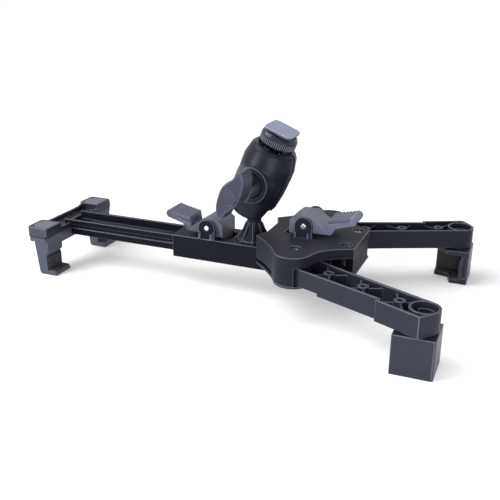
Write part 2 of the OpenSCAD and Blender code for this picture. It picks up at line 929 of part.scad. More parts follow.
// turned outside of both shells
module socket_turned() {
    k = ball_span - 25;
    rotate_extrude()
        polygon([[0, -rim_lo], [shell_r - 5, -rim_lo], [shell_r - 4.2, -rim_lo + 0.7],
            [shell_r - 3.3, -7], [shell_r - 1.9, -2], [shell_r - 0.9, 4],
            [shell_r - 0.2, 9], [shell_r + 0.1, 14 + k / 2], [shell_r + 0.3, 20 + k],
            [shell_r + 0.3, 25 + k], [shell_r, 26.2 + k],
            [shell_r - 1.4, rim_hi - 2], [shell_r - 2.6, rim_hi - 0.2],
            [shell_r - 2.9, rim_hi], [0, rim_hi]]);
}

// boss about the knob axis, from the turned body out to y
module socket_boss(r0, y0, r1, y) {
    translate([0, 0, knob_s])
        rotate([90, 0, 0])
            translate([0, 0, y0])
                cylinder(h = y - y0, r1 = r0, r2 = r1);
}

// room inside the shells: both ball seats and the bore between them
module socket_hollow() {
    bore = 7.2;
    a0 = acos(bore / seat_r);
    a1 = asin(lip_s / seat_r);
    rotate_extrude()
        polygon(concat(
            [[0, -rim_lo - 1], [6.8, -rim_lo - 1], [6.8, -rim_lo]],
            arc(0, 0, seat_r, -a1, a0, 8),
            arc(0, ball_span, seat_r, -a0, a1, 8),
            [[10.3, rim_hi], [10.3, rim_hi + 1], [0, rim_hi + 1]]
        ));
}

// room for the leaning neck in the plane of the split: a fan on one side, and on
// the other a slot in which the neck can swing level
module neck_fan(half_w) {
    rotate([90, 0, 0])
        linear_extrude(2 * half_w, center = true)
            polygon([[-7.8, -3], [3, -3], [6, -0.4], [21, -0.4], [21, -30], [-21, -30], [-21, -17]]);
}

module socket_near() {
    color("#3b3e46")
    at_head()
        difference() {
            union() {
                difference() {
                    union() {
                        socket_turned();
                        socket_boss(14, 6.5, 10.3, boss_y);
                    }
                    socket_hollow();
                    translate([-30, -split / 2, -30])
                        cube([60, 60, 90]);
                }
                // sleeve for the bolt
                translate([0, -split / 2, knob_s])
                    rotate([90, 0, 0])
                        cylinder(h = 10, r = sleeve_r);
            }
            neck_fan(neck_r + 1);
            translate([0, -seat_y, knob_s])
                rotate([90, 0, 0])
                    cylinder(h = 10, r = knob_r + 1.2);
            translate([0, 1, knob_s])
                rotate([90, 0, 0])
                    cylinder(h = 30, r = bolt_r + run_fit);
        }
}

module socket_far() {
    color("#34373e")
    at_head()
        difference() {
            union() {
                difference() {
                    union() {
                        socket_turned();
                        mirror([0, 1, 0])
                            socket_boss(13.4, 7.5, 9.4, seat_y + 2.4);
                    }
                    socket_hollow();
                    translate([-30, split / 2 - 60, -30])
                        cube([60, 60, 90]);
                }
                translate([0, split / 2, knob_s])
                    rotate([-90, 0, 0])
                        cylinder(h = 10, r = sleeve_r);
            }
            neck_fan(neck_r + 1);
            // cut away where the neck lies when the arm leans far over
            translate([3, 0, -20])
                cube([20, 20, 15.6]);
            translate([0, -1, knob_s])
                rotate([-90, 0, 0])
                    cylinder(h = 30, r = bolt_r + run_fit);
            translate([0, seat_y - 2, knob_s])
                rotate([-90, 0, 0])
                    cylinder(h = 10, r = nut_r + screw_fit, $fn = 6);
        }
}

module clamp_nut() {
    color("#9a9da3")
    at_head()
        translate([0, seat_y - 2, knob_s])
            rotate([-90, 0, 0])
                difference() {
                    cylinder(h = 3, r = nut_r, $fn = 6);
                    translate([0, 0, -1])
                        cylinder(h = 10, r = bolt_r + run_fit);
                }
}

// half outline of the knob wings from tip to tip, g in, with one bulging flank
// and one hollow one; the other half is the same turned half round
function wing_half(g) =
    let(h = wing_len / 2, k = wing_len / 30)
    concat(
        [[-0.5, h - 0.7 - g], [0.2, h - 0.2 - g], [1.1, h - g], [2, h - 0.5 - g]],
        curve([2.5 - g, h - 1.1 - g], [6.1 - g, 10.4 * k], [6.05 - g, 0.5], 7),
        curve([6 - g, -0.6], [5.7 - g, -4.3 * k], [2.1 - g, -8.8 * k], 6),
        curve([1.8 - g, -9.4 * k], [1.1 - g, -11.5 * k], [0.9 - g, -h + 1 + g], 4)
    );
function wing_plan(g) = concat(wing_half(g), [for (p = wing_half(g)) -p]);

module clamp_knob() {
    wing_y = knob_face - wing_t;
    color("#454850")
    at_head()
        translate([0, 0, knob_s])
            rotate([90, 0, 0])
                difference() {
                    union() {
                        translate([0, 0, seat_y + air])
                            cylinder(h = wing_y - seat_y + 0.5, r = knob_r);
                        translate([-0.4, 0, wing_y])
                            linear_extrude(0.8)
                                polygon(wing_plan(0.5));
                        translate([-0.4, 0, wing_y + 0.7])
                            linear_extrude(wing_t - 1.4)
                                polygon(wing_plan(0));
                        translate([-0.4, 0, knob_face - 0.8])
                            linear_extrude(0.8)
                                polygon(wing_plan(0.5));
                    }
                    translate([0, 0, knob_face - 0.6])
                        cylinder(h = 2, r = 4.7);
                    translate([0, 0, seat_y - 1])
                        cylinder(h = 16.4, r = bolt_r + press_fit);
                }
}

module knob_cap() {
    color("#4f525b")
    at_head()
        translate([0, -knob_face + 0.6, knob_s])
            rotate([90, 0, 0])
                cylinder(h = 0.5, r = 4.4);
}

module clamp_bolt() {
    color("#9a9da3")
    at_head()
        translate([0, -seat_y - 15, knob_s])
            rotate([-90, 0, 0])
                cylinder(h = 2 * seat_y + 15.6, r = bolt_r);
}

// upper ball core, stem and collar
module ball_stud() {
    color("#26282d")
    at_head()
        translate([0, 0, ball_span])
            union() {
                sphere(r = core_r);
                cylinder(h = foot_lo - ball_span, r = stem_r);
                translate([0, 0, 8.6])
                    cylinder(h = ring_lo - air - ball_span - 8.6, r = collar_r);
            }
}

// foot plate with rounded corners
module foot_plate() {
    a = foot_w / 2;
    b = foot_d / 2;
    r = 3.2;
    color("#9da1ac")
    at_head()
        translate([0, 0, foot_lo])
            rotate([0, 0, foot_turn])
            linear_extrude(foot_t)
                polygon(concat(
                    arc(a - r, b - r, r, 0, 90, 6), arc(-a + r, b - r, r, 90, 180, 6),
                    arc(-a + r, -b + r, r, 180, 270, 6), arc(a - r, -b + r, r, 270, 360, 6)
                ));
}

// knurled lock ring with a coned top
module lock_ring() {
    n = 56;
    r = ring_d / 2;
    h = ring_hi - ring_lo;
    color("#5a5d66")
    at_head()
        translate([0, 0, ring_lo])
            difference() {
                union() {
                    linear_extrude(ring_band)
                        polygon([for (i = [0:2 * n - 1])
                            (r - (i % 2 == 0 ? 0 : 0.45))
                                * [cos(i * 180 / n), sin(i * 180 / n)]]);
                    rotate_extrude()
                        polygon([[0, ring_band - 0.2], [r - 0.75, ring_band - 0.2],
                            [r - 0.75, ring_band + 0.6], [r - 1, h - 1.2], [r - 1.5, h - 0.4],
                            [r - 2.4, h], [0, h]]);
                }
                translate([0, 0, -1])
                    cylinder(h = 20, r = stem_r + run_fit);
            }
}

slide_housing();
hub_cover();
ball_post();
hub_screws();
rail_lever_pin();
arm_lever_pin();
rail();
end_bridge();
end_hooks();
cap_inlays();
hook_pads();
end_screws();
rail_lever();
rail_lever_pad();
arm_lever();
arm_lever_pad();
near_arm();
far_arm();
near_jaw();
far_jaw();
near_jaw_pads();
far_jaw_pads();
near_jaw_screw();
far_jaw_screw();
lower_ball();
socket_near();
socket_far();
clamp_nut();
clamp_knob();
knob_cap();
clamp_bolt();
upper_ball();
ball_stud();
foot_plate();
lock_ring();
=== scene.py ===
# %% [markdown]
# # A clamp holder with a sliding rail, two swinging arms and a ball head
#
# The holder is a small mechanism of moulded black plastic. A rail with a hooked
# end slides out of a housing, two arms with corner jaws swing out of a hub, and
# a ball head with a clamp knob stands on top. The exact solids come ready made,
# so this lesson is about what Blender adds: finishes that react to light as
# moulded plastic, rubber and steel do, small repeated parts made by Geometry
# Nodes, a camera, a floor and plain studio light.

# %% Load the frame
import json
import math

import bpy
import bmesh
from mathutils import Matrix, Vector
from mathutils.bvhtree import BVHTree
from mathutils.geometry import intersect_point_line

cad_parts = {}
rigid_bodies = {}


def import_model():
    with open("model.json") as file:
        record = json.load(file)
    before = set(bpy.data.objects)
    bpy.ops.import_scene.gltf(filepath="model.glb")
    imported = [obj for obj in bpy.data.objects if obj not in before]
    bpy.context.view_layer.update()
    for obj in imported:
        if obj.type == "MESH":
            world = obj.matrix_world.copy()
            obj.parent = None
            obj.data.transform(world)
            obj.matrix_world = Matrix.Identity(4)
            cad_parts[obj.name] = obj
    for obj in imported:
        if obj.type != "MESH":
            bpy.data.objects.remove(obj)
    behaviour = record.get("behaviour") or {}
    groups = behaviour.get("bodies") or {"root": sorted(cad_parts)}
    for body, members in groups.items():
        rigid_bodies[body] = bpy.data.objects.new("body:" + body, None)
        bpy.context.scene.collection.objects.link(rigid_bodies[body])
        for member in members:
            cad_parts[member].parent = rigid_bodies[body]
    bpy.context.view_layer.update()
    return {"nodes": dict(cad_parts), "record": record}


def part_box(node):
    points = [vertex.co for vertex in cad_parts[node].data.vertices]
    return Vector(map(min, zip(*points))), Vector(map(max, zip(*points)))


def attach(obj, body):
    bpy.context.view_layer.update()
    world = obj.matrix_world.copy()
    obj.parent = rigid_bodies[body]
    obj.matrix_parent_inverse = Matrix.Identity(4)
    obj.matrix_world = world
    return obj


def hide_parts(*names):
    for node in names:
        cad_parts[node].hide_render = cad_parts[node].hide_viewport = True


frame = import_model()
nodes = frame["nodes"]
MM = 0.001
print("pieces in the frame:", len(nodes))

# %% [markdown]
# ## Camera
#
# A product picture taken from close by shows strong perspective: the near jaw
# looks much larger than the far one. The camera could be aimed by a constraint at
# an empty in the middle, but a turn that is measured, like its place and focal
# length, keeps every edge where it is. Nothing is shifted or tracked.

# %% Camera
CAMERA_PLACE = (162.125, -379.151, 178.965)  # millimetres
CAMERA_TURN = (69.1085, -0.3458, 22.3447)  # degrees
FOCAL_LENGTH = 52.829  # millimetres, on a sensor 36 mm wide

camera_data = bpy.data.cameras.new("product_camera")
camera_data.sensor_width = 36
camera_data.lens = FOCAL_LENGTH
camera_data.clip_start = 0.01
camera_data.clip_end = 100
camera = bpy.data.objects.new("product_camera", camera_data)
camera.location = Vector(CAMERA_PLACE) * MM
camera.rotation_euler = [math.radians(angle) for angle in CAMERA_TURN]
bpy.context.scene.collection.objects.link(camera)
bpy.context.scene.camera = camera
print("camera at", [round(v, 3) for v in camera.location])

# %% [markdown]
# ## Small helpers for shader trees
#
# A finish is a tree of nodes. It could be wired by hand in the editor, but a
# script repeats it exactly. A few short helpers keep the trees readable: one adds
# a node and sets its values, one feeds a socket from a link or a plain value, and
# the others make the math, mix and range nodes that come back in every finish.


# %% Shader helpers
def add_node(tree, kind, values=None, **settings):
    node = tree.nodes.new(kind)
    for key, value in settings.items():
        setattr(node, key, value)
    for key, value in (values or {}).items():
        node.inputs[key].default_value = value
    return node


def feed(tree, socket, value):
    """link another node's output to the socket, or write a plain value into it"""
    if isinstance(value, bpy.types.NodeSocket):
        tree.links.new(value, socket)
    elif value is not None:
        socket.default_value = value


def math_node(tree, operation, *values):
    node = add_node(tree, "ShaderNodeMath", operation=operation)
    for socket, value in zip(node.inputs, values):
        feed(tree, socket, value)
    return node.outputs[0]


def mix_colour(tree, factor, a, b):
    """colour a where the factor is 0, colour b where it is 1"""
    node = add_node(tree, "ShaderNodeMix", data_type="RGBA")
    for index, value in ((0, factor), (6, a), (7, b)):
        feed(tree, node.inputs[index], value)
    return node.outputs[2]


def map_range(tree, value, low, high, to_low, to_high):
    """carry low..high over to to_low..to_high, and nothing beyond them"""
    node = add_node(tree, "ShaderNodeMapRange", clamp=True)
    tree.links.new(value, node.inputs[0])
    for index, number in enumerate((low, high, to_low, to_high), start=1):
        node.inputs[index].default_value = number
    return node.outputs[0]


def object_place(tree):
    """the place on the piece, in metres, on the piece's own axes"""
    return add_node(tree, "ShaderNodeTexCoord").outputs["Object"]


def new_finish(name):
    """an empty material, its tree and its main shader"""
    material = bpy.data.materials.new(name)
    material.use_nodes = True
    tree = material.node_tree
    shader = tree.nodes["Principled BSDF"]
    return material, tree, shader


print("shader helpers ready")

# %% [markdown]
# ## Moulded plastic
#
# Satin plastic is darker in the middle of a face than along its edges, because
# every moulded edge is a little round and catches the light, and because hands
# polish it there. The paler colour along the edges is partly wear and partly a
# painted highlight for that caught light. A painted mask could show that, but the
# Bevel node finds the edges by itself: it returns a normal that is blended over a
# small radius. Comparing that normal with the surface's own tells how close an edge
# is, which drives the wear and the painted highlight. A cloudy noise shifts the
# colour, a fine one makes the eroded grain of the mould in roughness and bump. A
# little sheen lightens the housing and the hub where they are seen at a low angle,
# as dusty black plastic does.
# Each row of the table is one finish: its level is a linear grey, and the rest is
# written only where it differs from plain satin. The hooks and the arm lever are
# lit copies of their plastic and the rail lever a shaded one: their level holds
# painted light. The two edge finishes are paler, partly wear and partly a painted
# highlight, for the real rounds that are cut further on.


# %% Edges, noise and bump
def near_edge(tree, radius):
    """a rounded normal, and how close an edge is from 0 to 1"""
    bevel = add_node(tree, "ShaderNodeBevel", {"Radius": radius}, samples=6)
    surface = add_node(tree, "ShaderNodeNewGeometry")
    turn = add_node(tree, "ShaderNodeVectorMath", operation="DOT_PRODUCT")
    tree.links.new(bevel.outputs[0], turn.inputs[0])
    tree.links.new(surface.outputs["Normal"], turn.inputs[1])
    return bevel.outputs[0], map_range(tree, turn.outputs["Value"], 0.99, 0.9, 0, 1)


def noise(tree, size, detail=2, roughness=0.5):
    """noise whose spots are about size metres wide"""
    values = {"Scale": 1 / size, "Detail": detail, "Roughness": roughness}
    cloud = add_node(tree, "ShaderNodeTexNoise", values)
    tree.links.new(object_place(tree), cloud.inputs["Vector"])
    return cloud.outputs["Fac"]


def grey_blue(level, blue=1.36):
    """a plastic grey of this linear level, cooler than neutral"""
    return (level * 0.94, level, level * blue, 1)


def bumped(tree, shader, height, strength, distance, normal=None):
    """let a height raise the surface by up to a distance in metres"""
    bump = add_node(tree, "ShaderNodeBump", {"Strength": strength, "Distance": distance})
    tree.links.new(height, bump.inputs["Height"])
    if normal is not None:
        tree.links.new(normal, bump.inputs["Normal"])
    tree.links.new(bump.outputs[0], shader.inputs["Normal"])


print("edge, noise and bump helpers ready")

# %% Moulded plastic
CLOUD_SIZE = 9 * MM
CLOUD_SHIFT = 0.14  # how far the clouds lighten and darken the colour
# the pale edge colour, partly wear and partly a painted highlight, is less blue than the face
WORN_HIGHLIGHT_BLUE = 1.3  # a rubbed edge is less blue than the face
POLISH = -0.12  # how much smoother a rubbed edge is
HIGHLIGHT = (0.72, 0.76, 1, 1)  # tint of the shine
DUST = (0.8, 0.8, 1, 1)  # tint of the sheen


def moulded(
    name,
    level,
    rough=0.4,
    blue=1.42,
    shine=0.4,
    wear_and_highlight=0.6,
    grain=0.35,
    edge=0.6,
    sheen=0.0,
):
    """satin plastic; grain and edge are in millimetres"""
    material, tree, shader = new_finish(name)
    round_normal, edge_share = near_edge(tree, edge * MM)
    cloud = noise(tree, CLOUD_SIZE, 3)
    fine = noise(tree, grain * MM)
    darker = grey_blue(level * (1 - CLOUD_SHIFT), blue)
    lighter = grey_blue(level * (1 + CLOUD_SHIFT), blue)
    base = mix_colour(tree, cloud, darker, lighter)
    patches = map_range(tree, cloud, 0.35, 0.6, 0.4, 1)
    rubbed_and_lit = math_node(tree, "MULTIPLY", edge_share, patches)
    # how much the edge is painted paler: partly wear, partly a painted highlight for the light
    # its round catches
    worn_and_highlit = math_node(tree, "MULTIPLY", rubbed_and_lit, wear_and_highlight)
    colour = mix_colour(tree, worn_and_highlit, base, grey_blue(level * 1.5 + 0.18, WORN_HIGHLIGHT_BLUE))
    tree.links.new(colour, shader.inputs["Base Color"])
    matt = map_range(tree, fine, 0.3, 0.7, rough - 0.05, rough + 0.06)
    slick = math_node(tree, "MULTIPLY_ADD", worn_and_highlit, POLISH, matt)
    tree.links.new(slick, shader.inputs["Roughness"])
    bumped(tree, shader, fine, 0.12, 0.05 * MM, round_normal)
    shader.inputs["Specular IOR Level"].default_value = shine
    shader.inputs["Specular Tint"].default_value = HIGHLIGHT
    shader.inputs["Sheen Weight"].default_value = sheen
    shader.inputs["Sheen Roughness"].default_value = 0.45
    shader.inputs["Sheen Tint"].default_value = DUST
    return material


print("clouds of", CLOUD_SIZE / MM, "mm in every plastic")

# %% Every plastic of the holder
PLASTICS = {
    "housing plastic": dict(level=0.006, rough=0.48, shine=0.08, sheen=0.03),
    "hub plastic": dict(level=0.014, rough=0.46, shine=0.04, sheen=0.06),
    "arm plastic": dict(level=0.015, rough=0.42, shine=0.18),
    "jaw plastic": dict(level=0.018, rough=0.38, shine=0.24),
    "bridge plastic": dict(level=0.015, rough=0.42, shine=0.28),
    # painted light: the hooks are painted lighter than the bridge, the other half of the hooked
    # end, where light from the left falls on them
    "lit hook plastic": dict(level=0.056, rough=0.4, shine=0.34),
    "shell plastic": dict(level=0.009, rough=0.36, shine=0.18),
    "knob plastic": dict(level=0.030, rough=0.4, shine=0.3),
    "lever plastic": dict(level=0.079, rough=0.46, wear_and_highlight=0.3),
    # painted light: the arm lever is painted lighter than the pads, where light falls on its
    # left faces, and the rail lever darker, a painted shade
    "lit arm lever plastic": dict(level=0.115, rough=0.42, wear_and_highlight=0.3),
    "shaded rail lever plastic": dict(level=0.055, rough=0.44, wear_and_highlight=0.5),
    "inlay plastic": dict(level=0.095, rough=0.42, wear_and_highlight=0.3),
    "disc plastic": dict(level=0.032, rough=0.42, shine=0.34, wear_and_highlight=0.3),
    # the paler finishes of the rounds: partly wear, partly a painted highlight along the edge
    "polished and highlit edge": dict(level=0.055, rough=0.36, wear_and_highlight=0.2),
    "bridge polished and highlit edge": dict(level=0.055, rough=0.36, wear_and_highlight=0.2),
    "foot plastic": dict(level=0.26, rough=0.5, blue=1.38, wear_and_highlight=0.3),
    "ledge plastic": dict(level=0.06, rough=0.4, wear_and_highlight=0.4),
    "ring plastic": dict(level=0.012, rough=0.22, shine=0.4, wear_and_highlight=0.9, edge=0.22),
    # painted highlight: the ridges of the lock ring are painted paler than its body, for the
    # light on their crests
    "ridge highlight plastic": dict(level=0.095, rough=0.45, blue=1.2, wear_and_highlight=0.4, edge=0.2),
}
finishes = {name: moulded(name, **values) for name, values in PLASTICS.items()}
print("plastic finishes:", len(finishes))

# %% [markdown]
# ## Painted highlights on the teeth
#
# The rail is a rack: the press lever drops its toe between the teeth on its floor.
# The tips of the teeth are painted paler, a painted highlight for the light they
# catch. Separate pieces on the tips would be thinner than the picture can show, so
# the finish does it. The teeth repeat, so the fraction of the place along the rail
# says which part of a tooth is there. Height and width masks keep the painted
# highlight off the rims and side walls.


# %% Rail finish with painted highlights on the teeth
TOOTH_START = -106.8  # where one of the teeth begins along X, in millimetres
TOOTH_PITCH = 1.6
TOOTH_TOP = 24.9  # height of the tips above the table
RACK_HALF = 6.1  # half the width of the rack
TIP_AT = 0.62  # where in one pitch the tip lies, from 0 to 1


def distance_from(tree, value, target):
    return math_node(tree, "ABSOLUTE", math_node(tree, "SUBTRACT", value, target))


def split_place(tree):
    """x, y and z of the place on the piece"""
    split = add_node(tree, "ShaderNodeSeparateXYZ")
    tree.links.new(object_place(tree), split.inputs[0])
    return split.outputs


def repaint(tree, share, colour):
    """mix a colour over the finish by a share from 0 to 1"""
    base = tree.nodes["Principled BSDF"].inputs["Base Color"]
    mixed = mix_colour(tree, share, base.links[0].from_socket, colour)
    tree.links.new(mixed, base)


def add_painted_tooth_highlights(material):
    tree = material.node_tree
    x, y, z = split_place(tree)
    pitches = math_node(
        tree, "MULTIPLY_ADD", x, 1 / (TOOTH_PITCH * MM), -TOOTH_START / TOOTH_PITCH
    )
    from_tip = distance_from(tree, math_node(tree, "FRACT", pitches), TIP_AT)
    on_tip = map_range(tree, from_tip, 0.18, 0.3, 1, 0)
    above = map_range(tree, z, (TOOTH_TOP - 0.36) * MM, (TOOTH_TOP - 0.28) * MM, 0, 1)
    below = map_range(tree, z, (TOOTH_TOP + 0.05) * MM, (TOOTH_TOP + 0.1) * MM, 1, 0)
    aside = math_node(tree, "ABSOLUTE", y)
    inside = map_range(tree, aside, RACK_HALF * MM, (RACK_HALF + 0.1) * MM, 1, 0)
    share = math_node(tree, "MULTIPLY", on_tip, math_node(tree, "MULTIPLY", above, below))
    share = math_node(tree, "MULTIPLY", share, inside)
    # painted highlight: a pale colour on the tips of the teeth
    repaint(tree, share, grey_blue(0.26, 1.15))


rail_finish = moulded("rail plastic", 0.006, rough=0.48, shine=0.06, wear_and_highlight=0.9)
add_painted_tooth_highlights(rail_finish)
finishes["rail plastic"] = rail_finish
print("rail finish with teeth every", TOOTH_PITCH, "mm")

# %% [markdown]
# ## Painted shadow at the joint
#
# The hooked end is screwed together from an upper and a lower half, and a thin
# dark line of shade shows where they meet. The two solids touch face to face, so
# there is no gap for the shade to fall in. A real groove would need both meshes
# cut, so a band of nearly black colour at that height paints the shadow and gives
# the same line.


# %% Painted shadow at the joint between the two halves
JOINT_HEIGHT = 24.6  # millimetres above the table
JOINT_HALF = 0.45


def add_painted_joint_shadow(material):
    tree = material.node_tree
    away = distance_from(tree, split_place(tree)[2], JOINT_HEIGHT * MM)
    share = map_range(tree, away, JOINT_HALF * MM, (JOINT_HALF + 0.1) * MM, 1, 0)
    # painted shadow: a nearly black band where the two halves meet
    repaint(tree, share, grey_blue(0.003))


for name in ("bridge plastic", "bridge polished and highlit edge", "lit hook plastic"):
    add_painted_joint_shadow(finishes[name])
print("dark joint at", JOINT_HEIGHT, "mm")

# %% [markdown]
# ## Rubber and steel
#
# Rubber scatters light widely and has a coarser, pebbled skin. The pin ends are
# turned steel: bright, with fine rings round the pin's axis. The rings are finer
# than any mesh could carry, so a Wave texture makes them, and its Mapping node is
# moved to each pin so that they are centred.


# %% Rubber
def rubber(name, level, pebble):
    """matt rubber whose skin has pebbles of this many millimetres"""
    material, tree, shader = new_finish(name)
    cloud = noise(tree, 5 * MM, 3)
    skin = noise(tree, pebble * MM, 3, 0.6)
    colour = mix_colour(tree, cloud, grey_blue(level * 0.7, 1.1), grey_blue(level * 1.3, 1.1))
    tree.links.new(colour, shader.inputs["Base Color"])
    tree.links.new(map_range(tree, skin, 0.3, 0.7, 0.62, 0.82), shader.inputs["Roughness"])
    bumped(tree, shader, skin, 0.35, 0.1 * MM)
    return material


finishes["grip rubber"] = rubber("grip rubber", 0.012, 0.5)
finishes["ball rubber"] = rubber("ball rubber", 0.01, 0.35)
print("rubber of the grips and of the balls")

# %% Turned steel
RING_SCALE = 200  # at scale 1, a Wave texture turns 20 radians in a metre


def turned_steel(name, centre, colour, rough):
    """steel with fine rings round an axis along Y through centre, in millimetres"""
    material, tree, shader = new_finish(name)
    mapping = add_node(tree, "ShaderNodeMapping")
    mapping.inputs["Location"].default_value = [-v * MM for v in centre]
    tree.links.new(object_place(tree), mapping.inputs["Vector"])
    rings = add_node(
        tree,
        "ShaderNodeTexWave",
        {"Scale": RING_SCALE, "Distortion": 0.6, "Detail": 2},
        wave_type="RINGS",
        rings_direction="Y",
    )
    tree.links.new(mapping.outputs[0], rings.inputs["Vector"])
    cloud = noise(tree, 1.2 * MM, 3)
    tone = mix_colour(tree, cloud, [c * 0.88 for c in colour] + [1], list(colour) + [1])
    tree.links.new(tone, shader.inputs["Base Color"])
    polish = map_range(tree, rings.outputs["Fac"], 0, 1, rough - 0.05, rough + 0.08)
    tree.links.new(polish, shader.inputs["Roughness"])
    round_normal, _ = near_edge(tree, 0.2 * MM)
    bumped(tree, shader, rings.outputs["Fac"], 0.15, 0.02 * MM, round_normal)
    shader.inputs["Metallic"].default_value = 1
    return material


def middle(node):
    """the middle of a solid's box, in millimetres"""
    low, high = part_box(node)
    return [(a + b) / 2 / MM for a, b in zip(low, high)]


print("rings of", round(2 * math.pi / 20 / RING_SCALE / MM, 2), "mm on turned steel")

# %% Every steel of the holder
BRIGHT = (0.86, 0.87, 0.89)
ZINC = (0.6, 0.61, 0.63)
DULL = (0.5, 0.51, 0.53)
BLACKENED = (0.16, 0.165, 0.18)
BLACK_STEM = (0.05, 0.052, 0.06)
STEELS = {
    "rail_lever_pin": ("rail_lever_pin steel", middle("rail_lever_pin"), BRIGHT, 0.2),
    "arm_lever_pin": ("arm_lever_pin steel", middle("arm_lever_pin"), BRIGHT, 0.2),
    "nut steel": ("nut steel", middle("clamp_nut"), DULL, 0.3),
    "bolt steel": ("bolt steel", middle("clamp_bolt"), ZINC, 0.25),
    "screw steel": ("screw steel", (0, 0, 0), BLACKENED, 0.3),
    "stem steel": ("stem steel", middle("ball_stud"), BLACK_STEM, 0.28),
}
for finish, values in STEELS.items():
    finishes[finish] = turned_steel(*values)
print("finishes in all:", len(finishes))

# %% [markdown]
# ## Dress the solids
#
# The solids keep their shape and place, because they already have the form of the
# real mouldings. Only their material slots are filled, so that each one has its
# finish. A list that goes from finish to solids is shorter to read than one that
# names a finish 35 times. A piece that stands for a solid later on moves as the
# solid does, and the solid is hidden.

# %% Give each solid its finish
DRESS = {
    "housing plastic": ["slide_housing"],
    "hub plastic": ["hub_cover", "ball_post"],
    "arm plastic": ["near_arm", "far_arm"],
    "jaw plastic": ["near_jaw", "far_jaw"],
    "bridge plastic": ["end_bridge"],
    "lit hook plastic": ["end_hooks"],
    "rail plastic": ["rail"],
    "shell plastic": ["socket_near", "socket_far"],
    "knob plastic": ["clamp_knob"],
    "lever plastic": ["rail_lever_pad", "arm_lever_pad"],
    "lit arm lever plastic": ["arm_lever"],
    "shaded rail lever plastic": ["rail_lever"],
    "inlay plastic": ["cap_inlays"],
    "disc plastic": ["knob_cap"],
    "foot plastic": ["foot_plate"],
    "ring plastic": ["lock_ring"],
    "grip rubber": ["hook_pads", "near_jaw_pads", "far_jaw_pads"],
    "ball rubber": ["lower_ball", "upper_ball"],
    "rail_lever_pin": ["rail_lever_pin"],
    "arm_lever_pin": ["arm_lever_pin"],
    "nut steel": ["clamp_nut"],
    "bolt steel": ["clamp_bolt"],
    "stem steel": ["ball_stud"],
    "screw steel": ["hub_screws", "end_screws", "near_jaw_screw", "far_jaw_screw"],
}
finish_of = {node: finish for finish, group in DRESS.items() for node in group}
for node, finish in finish_of.items():
    slots = nodes[node].data.materials
    slots.clear()
    slots.append(finishes[finish])
groups = frame["record"]["behaviour"]["bodies"]
body_of = {node: body for body, group in groups.items() for node in group}


def take_place_of(piece, node):
    """the piece rides where the solid rides, and hides the solid"""
    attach(piece, body_of[node])
    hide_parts(node)


# %% [markdown]
# ## Rounded edges
#
# No moulded edge is perfectly sharp: it has a radius of a few tenths of a
# millimetre, and the thin line of light along it is what makes plastic look
# solid. The solids have knife edges, so each large piece gets a copy with real
# rounds. A Bevel modifier would do that in one step, but on ribs and thin walls it
# drives faces through each other. So the bevel is made in mesh code, with a test.
# First the copy's doubled vertices are joined and its flat triangles are merged.
# Then the outer edges over 35 degrees are bevelled. Where a round is wider than
# the wall beside it, faces cross: the edges near a crossing stay sharp, and the
# bevel is done again. The rounds get a paler finish than the faces: partly wear,
# as hands and tables polish them first, and partly a painted highlight for the
# line of light along them. Weighted normals keep the large faces flat.


# %% Merge and test
def merged_copy(node):
    """the solid's mesh with its doubled vertices joined, as a bmesh"""
    shape = bmesh.new()
    shape.from_mesh(nodes[node].data)
    bmesh.ops.remove_doubles(shape, verts=shape.verts, dist=1e-6)
    return shape


def crossings(shape):
    """points where faces that don't share a corner cut through each other"""
    cut = shape.copy()
    bmesh.ops.triangulate(cut, faces=cut.faces)
    cut.faces.ensure_lookup_table()
    tree = BVHTree.FromBMesh(cut)
    points = []
    for a, b in tree.overlap(tree):
        first, second = cut.faces[a], cut.faces[b]
        if a < b and not set(first.verts) & set(second.verts):
            points += [first.calc_center_median(), second.calc_center_median()]
    cut.free()
    return points


print("merge and test ready")

# %% Bevel where there is room
SHARP = math.radians(35)  # an edge that turns by less is left as it is
ROOM = 1.3  # a face beside a round is at least this many radii wide
NEAR = 1.1  # an edge this many radii from a crossing stays sharp
TRIES = 12


def room_beside(edge):
    """how wide the narrower face beside an edge is"""
    start = edge.verts[0].co
    along = (edge.verts[1].co - start).normalized()
    widths = []
    for face in edge.link_faces:
        away = [v.co - start for v in face.verts]
        widths.append(max((p - along * p.dot(along)).length for p in away))
    return min(widths)


def is_close(edge, points, reach):
    """true if one of the points lies within reach of the edge"""
    a, b = (v.co for v in edge.verts)
    for point in points:
        _, share = intersect_point_line(point, a, b)
        if (a.lerp(b, max(0, min(1, share))) - point).length < reach:
            return True
    return False


def stands_out(edge):
    """true at a sharp outer edge"""
    return edge.is_manifold and edge.is_convex and edge.calc_face_angle(0) > SHARP


def bevelled(shape, radius):
    """a copy of the shape with its outer edges rounded wherever there is room"""
    shape.edges.index_update()
    sharp = [edge for edge in shape.edges if stands_out(edge)]
    chosen = {edge.index for edge in sharp if room_beside(edge) > ROOM * radius}
    for _ in range(TRIES):
        trial = shape.copy()
        trial.edges.ensure_lookup_table()
        bmesh.ops.bevel(
            trial,
            geom=[trial.edges[i] for i in sorted(chosen)],
            offset=radius,
            offset_type="OFFSET",
            segments=2,
            profile=0.5,
            affect="EDGES",
            clamp_overlap=False,
            material=1,  # the second material slot, which holds the edge finish
        )
        bad = crossings(trial)
        if not bad:
            return trial
        trial.free()
        shape.edges.ensure_lookup_table()
        chosen = {i for i in chosen if not is_close(shape.edges[i], bad, NEAR * radius)}
    return shape.copy()


print("bevel ready, at most", TRIES, "tries")


# %% Objects and shading
def new_object(name, data):
    obj = bpy.data.objects.new(name, data)
    bpy.context.scene.collection.objects.link(obj)
    return obj


def object_from(name, shape):
    """turn a bmesh into an object and let the bmesh go"""
    mesh = bpy.data.meshes.new(name)
    shape.to_mesh(mesh)
    shape.free()
    return new_object(name, mesh)


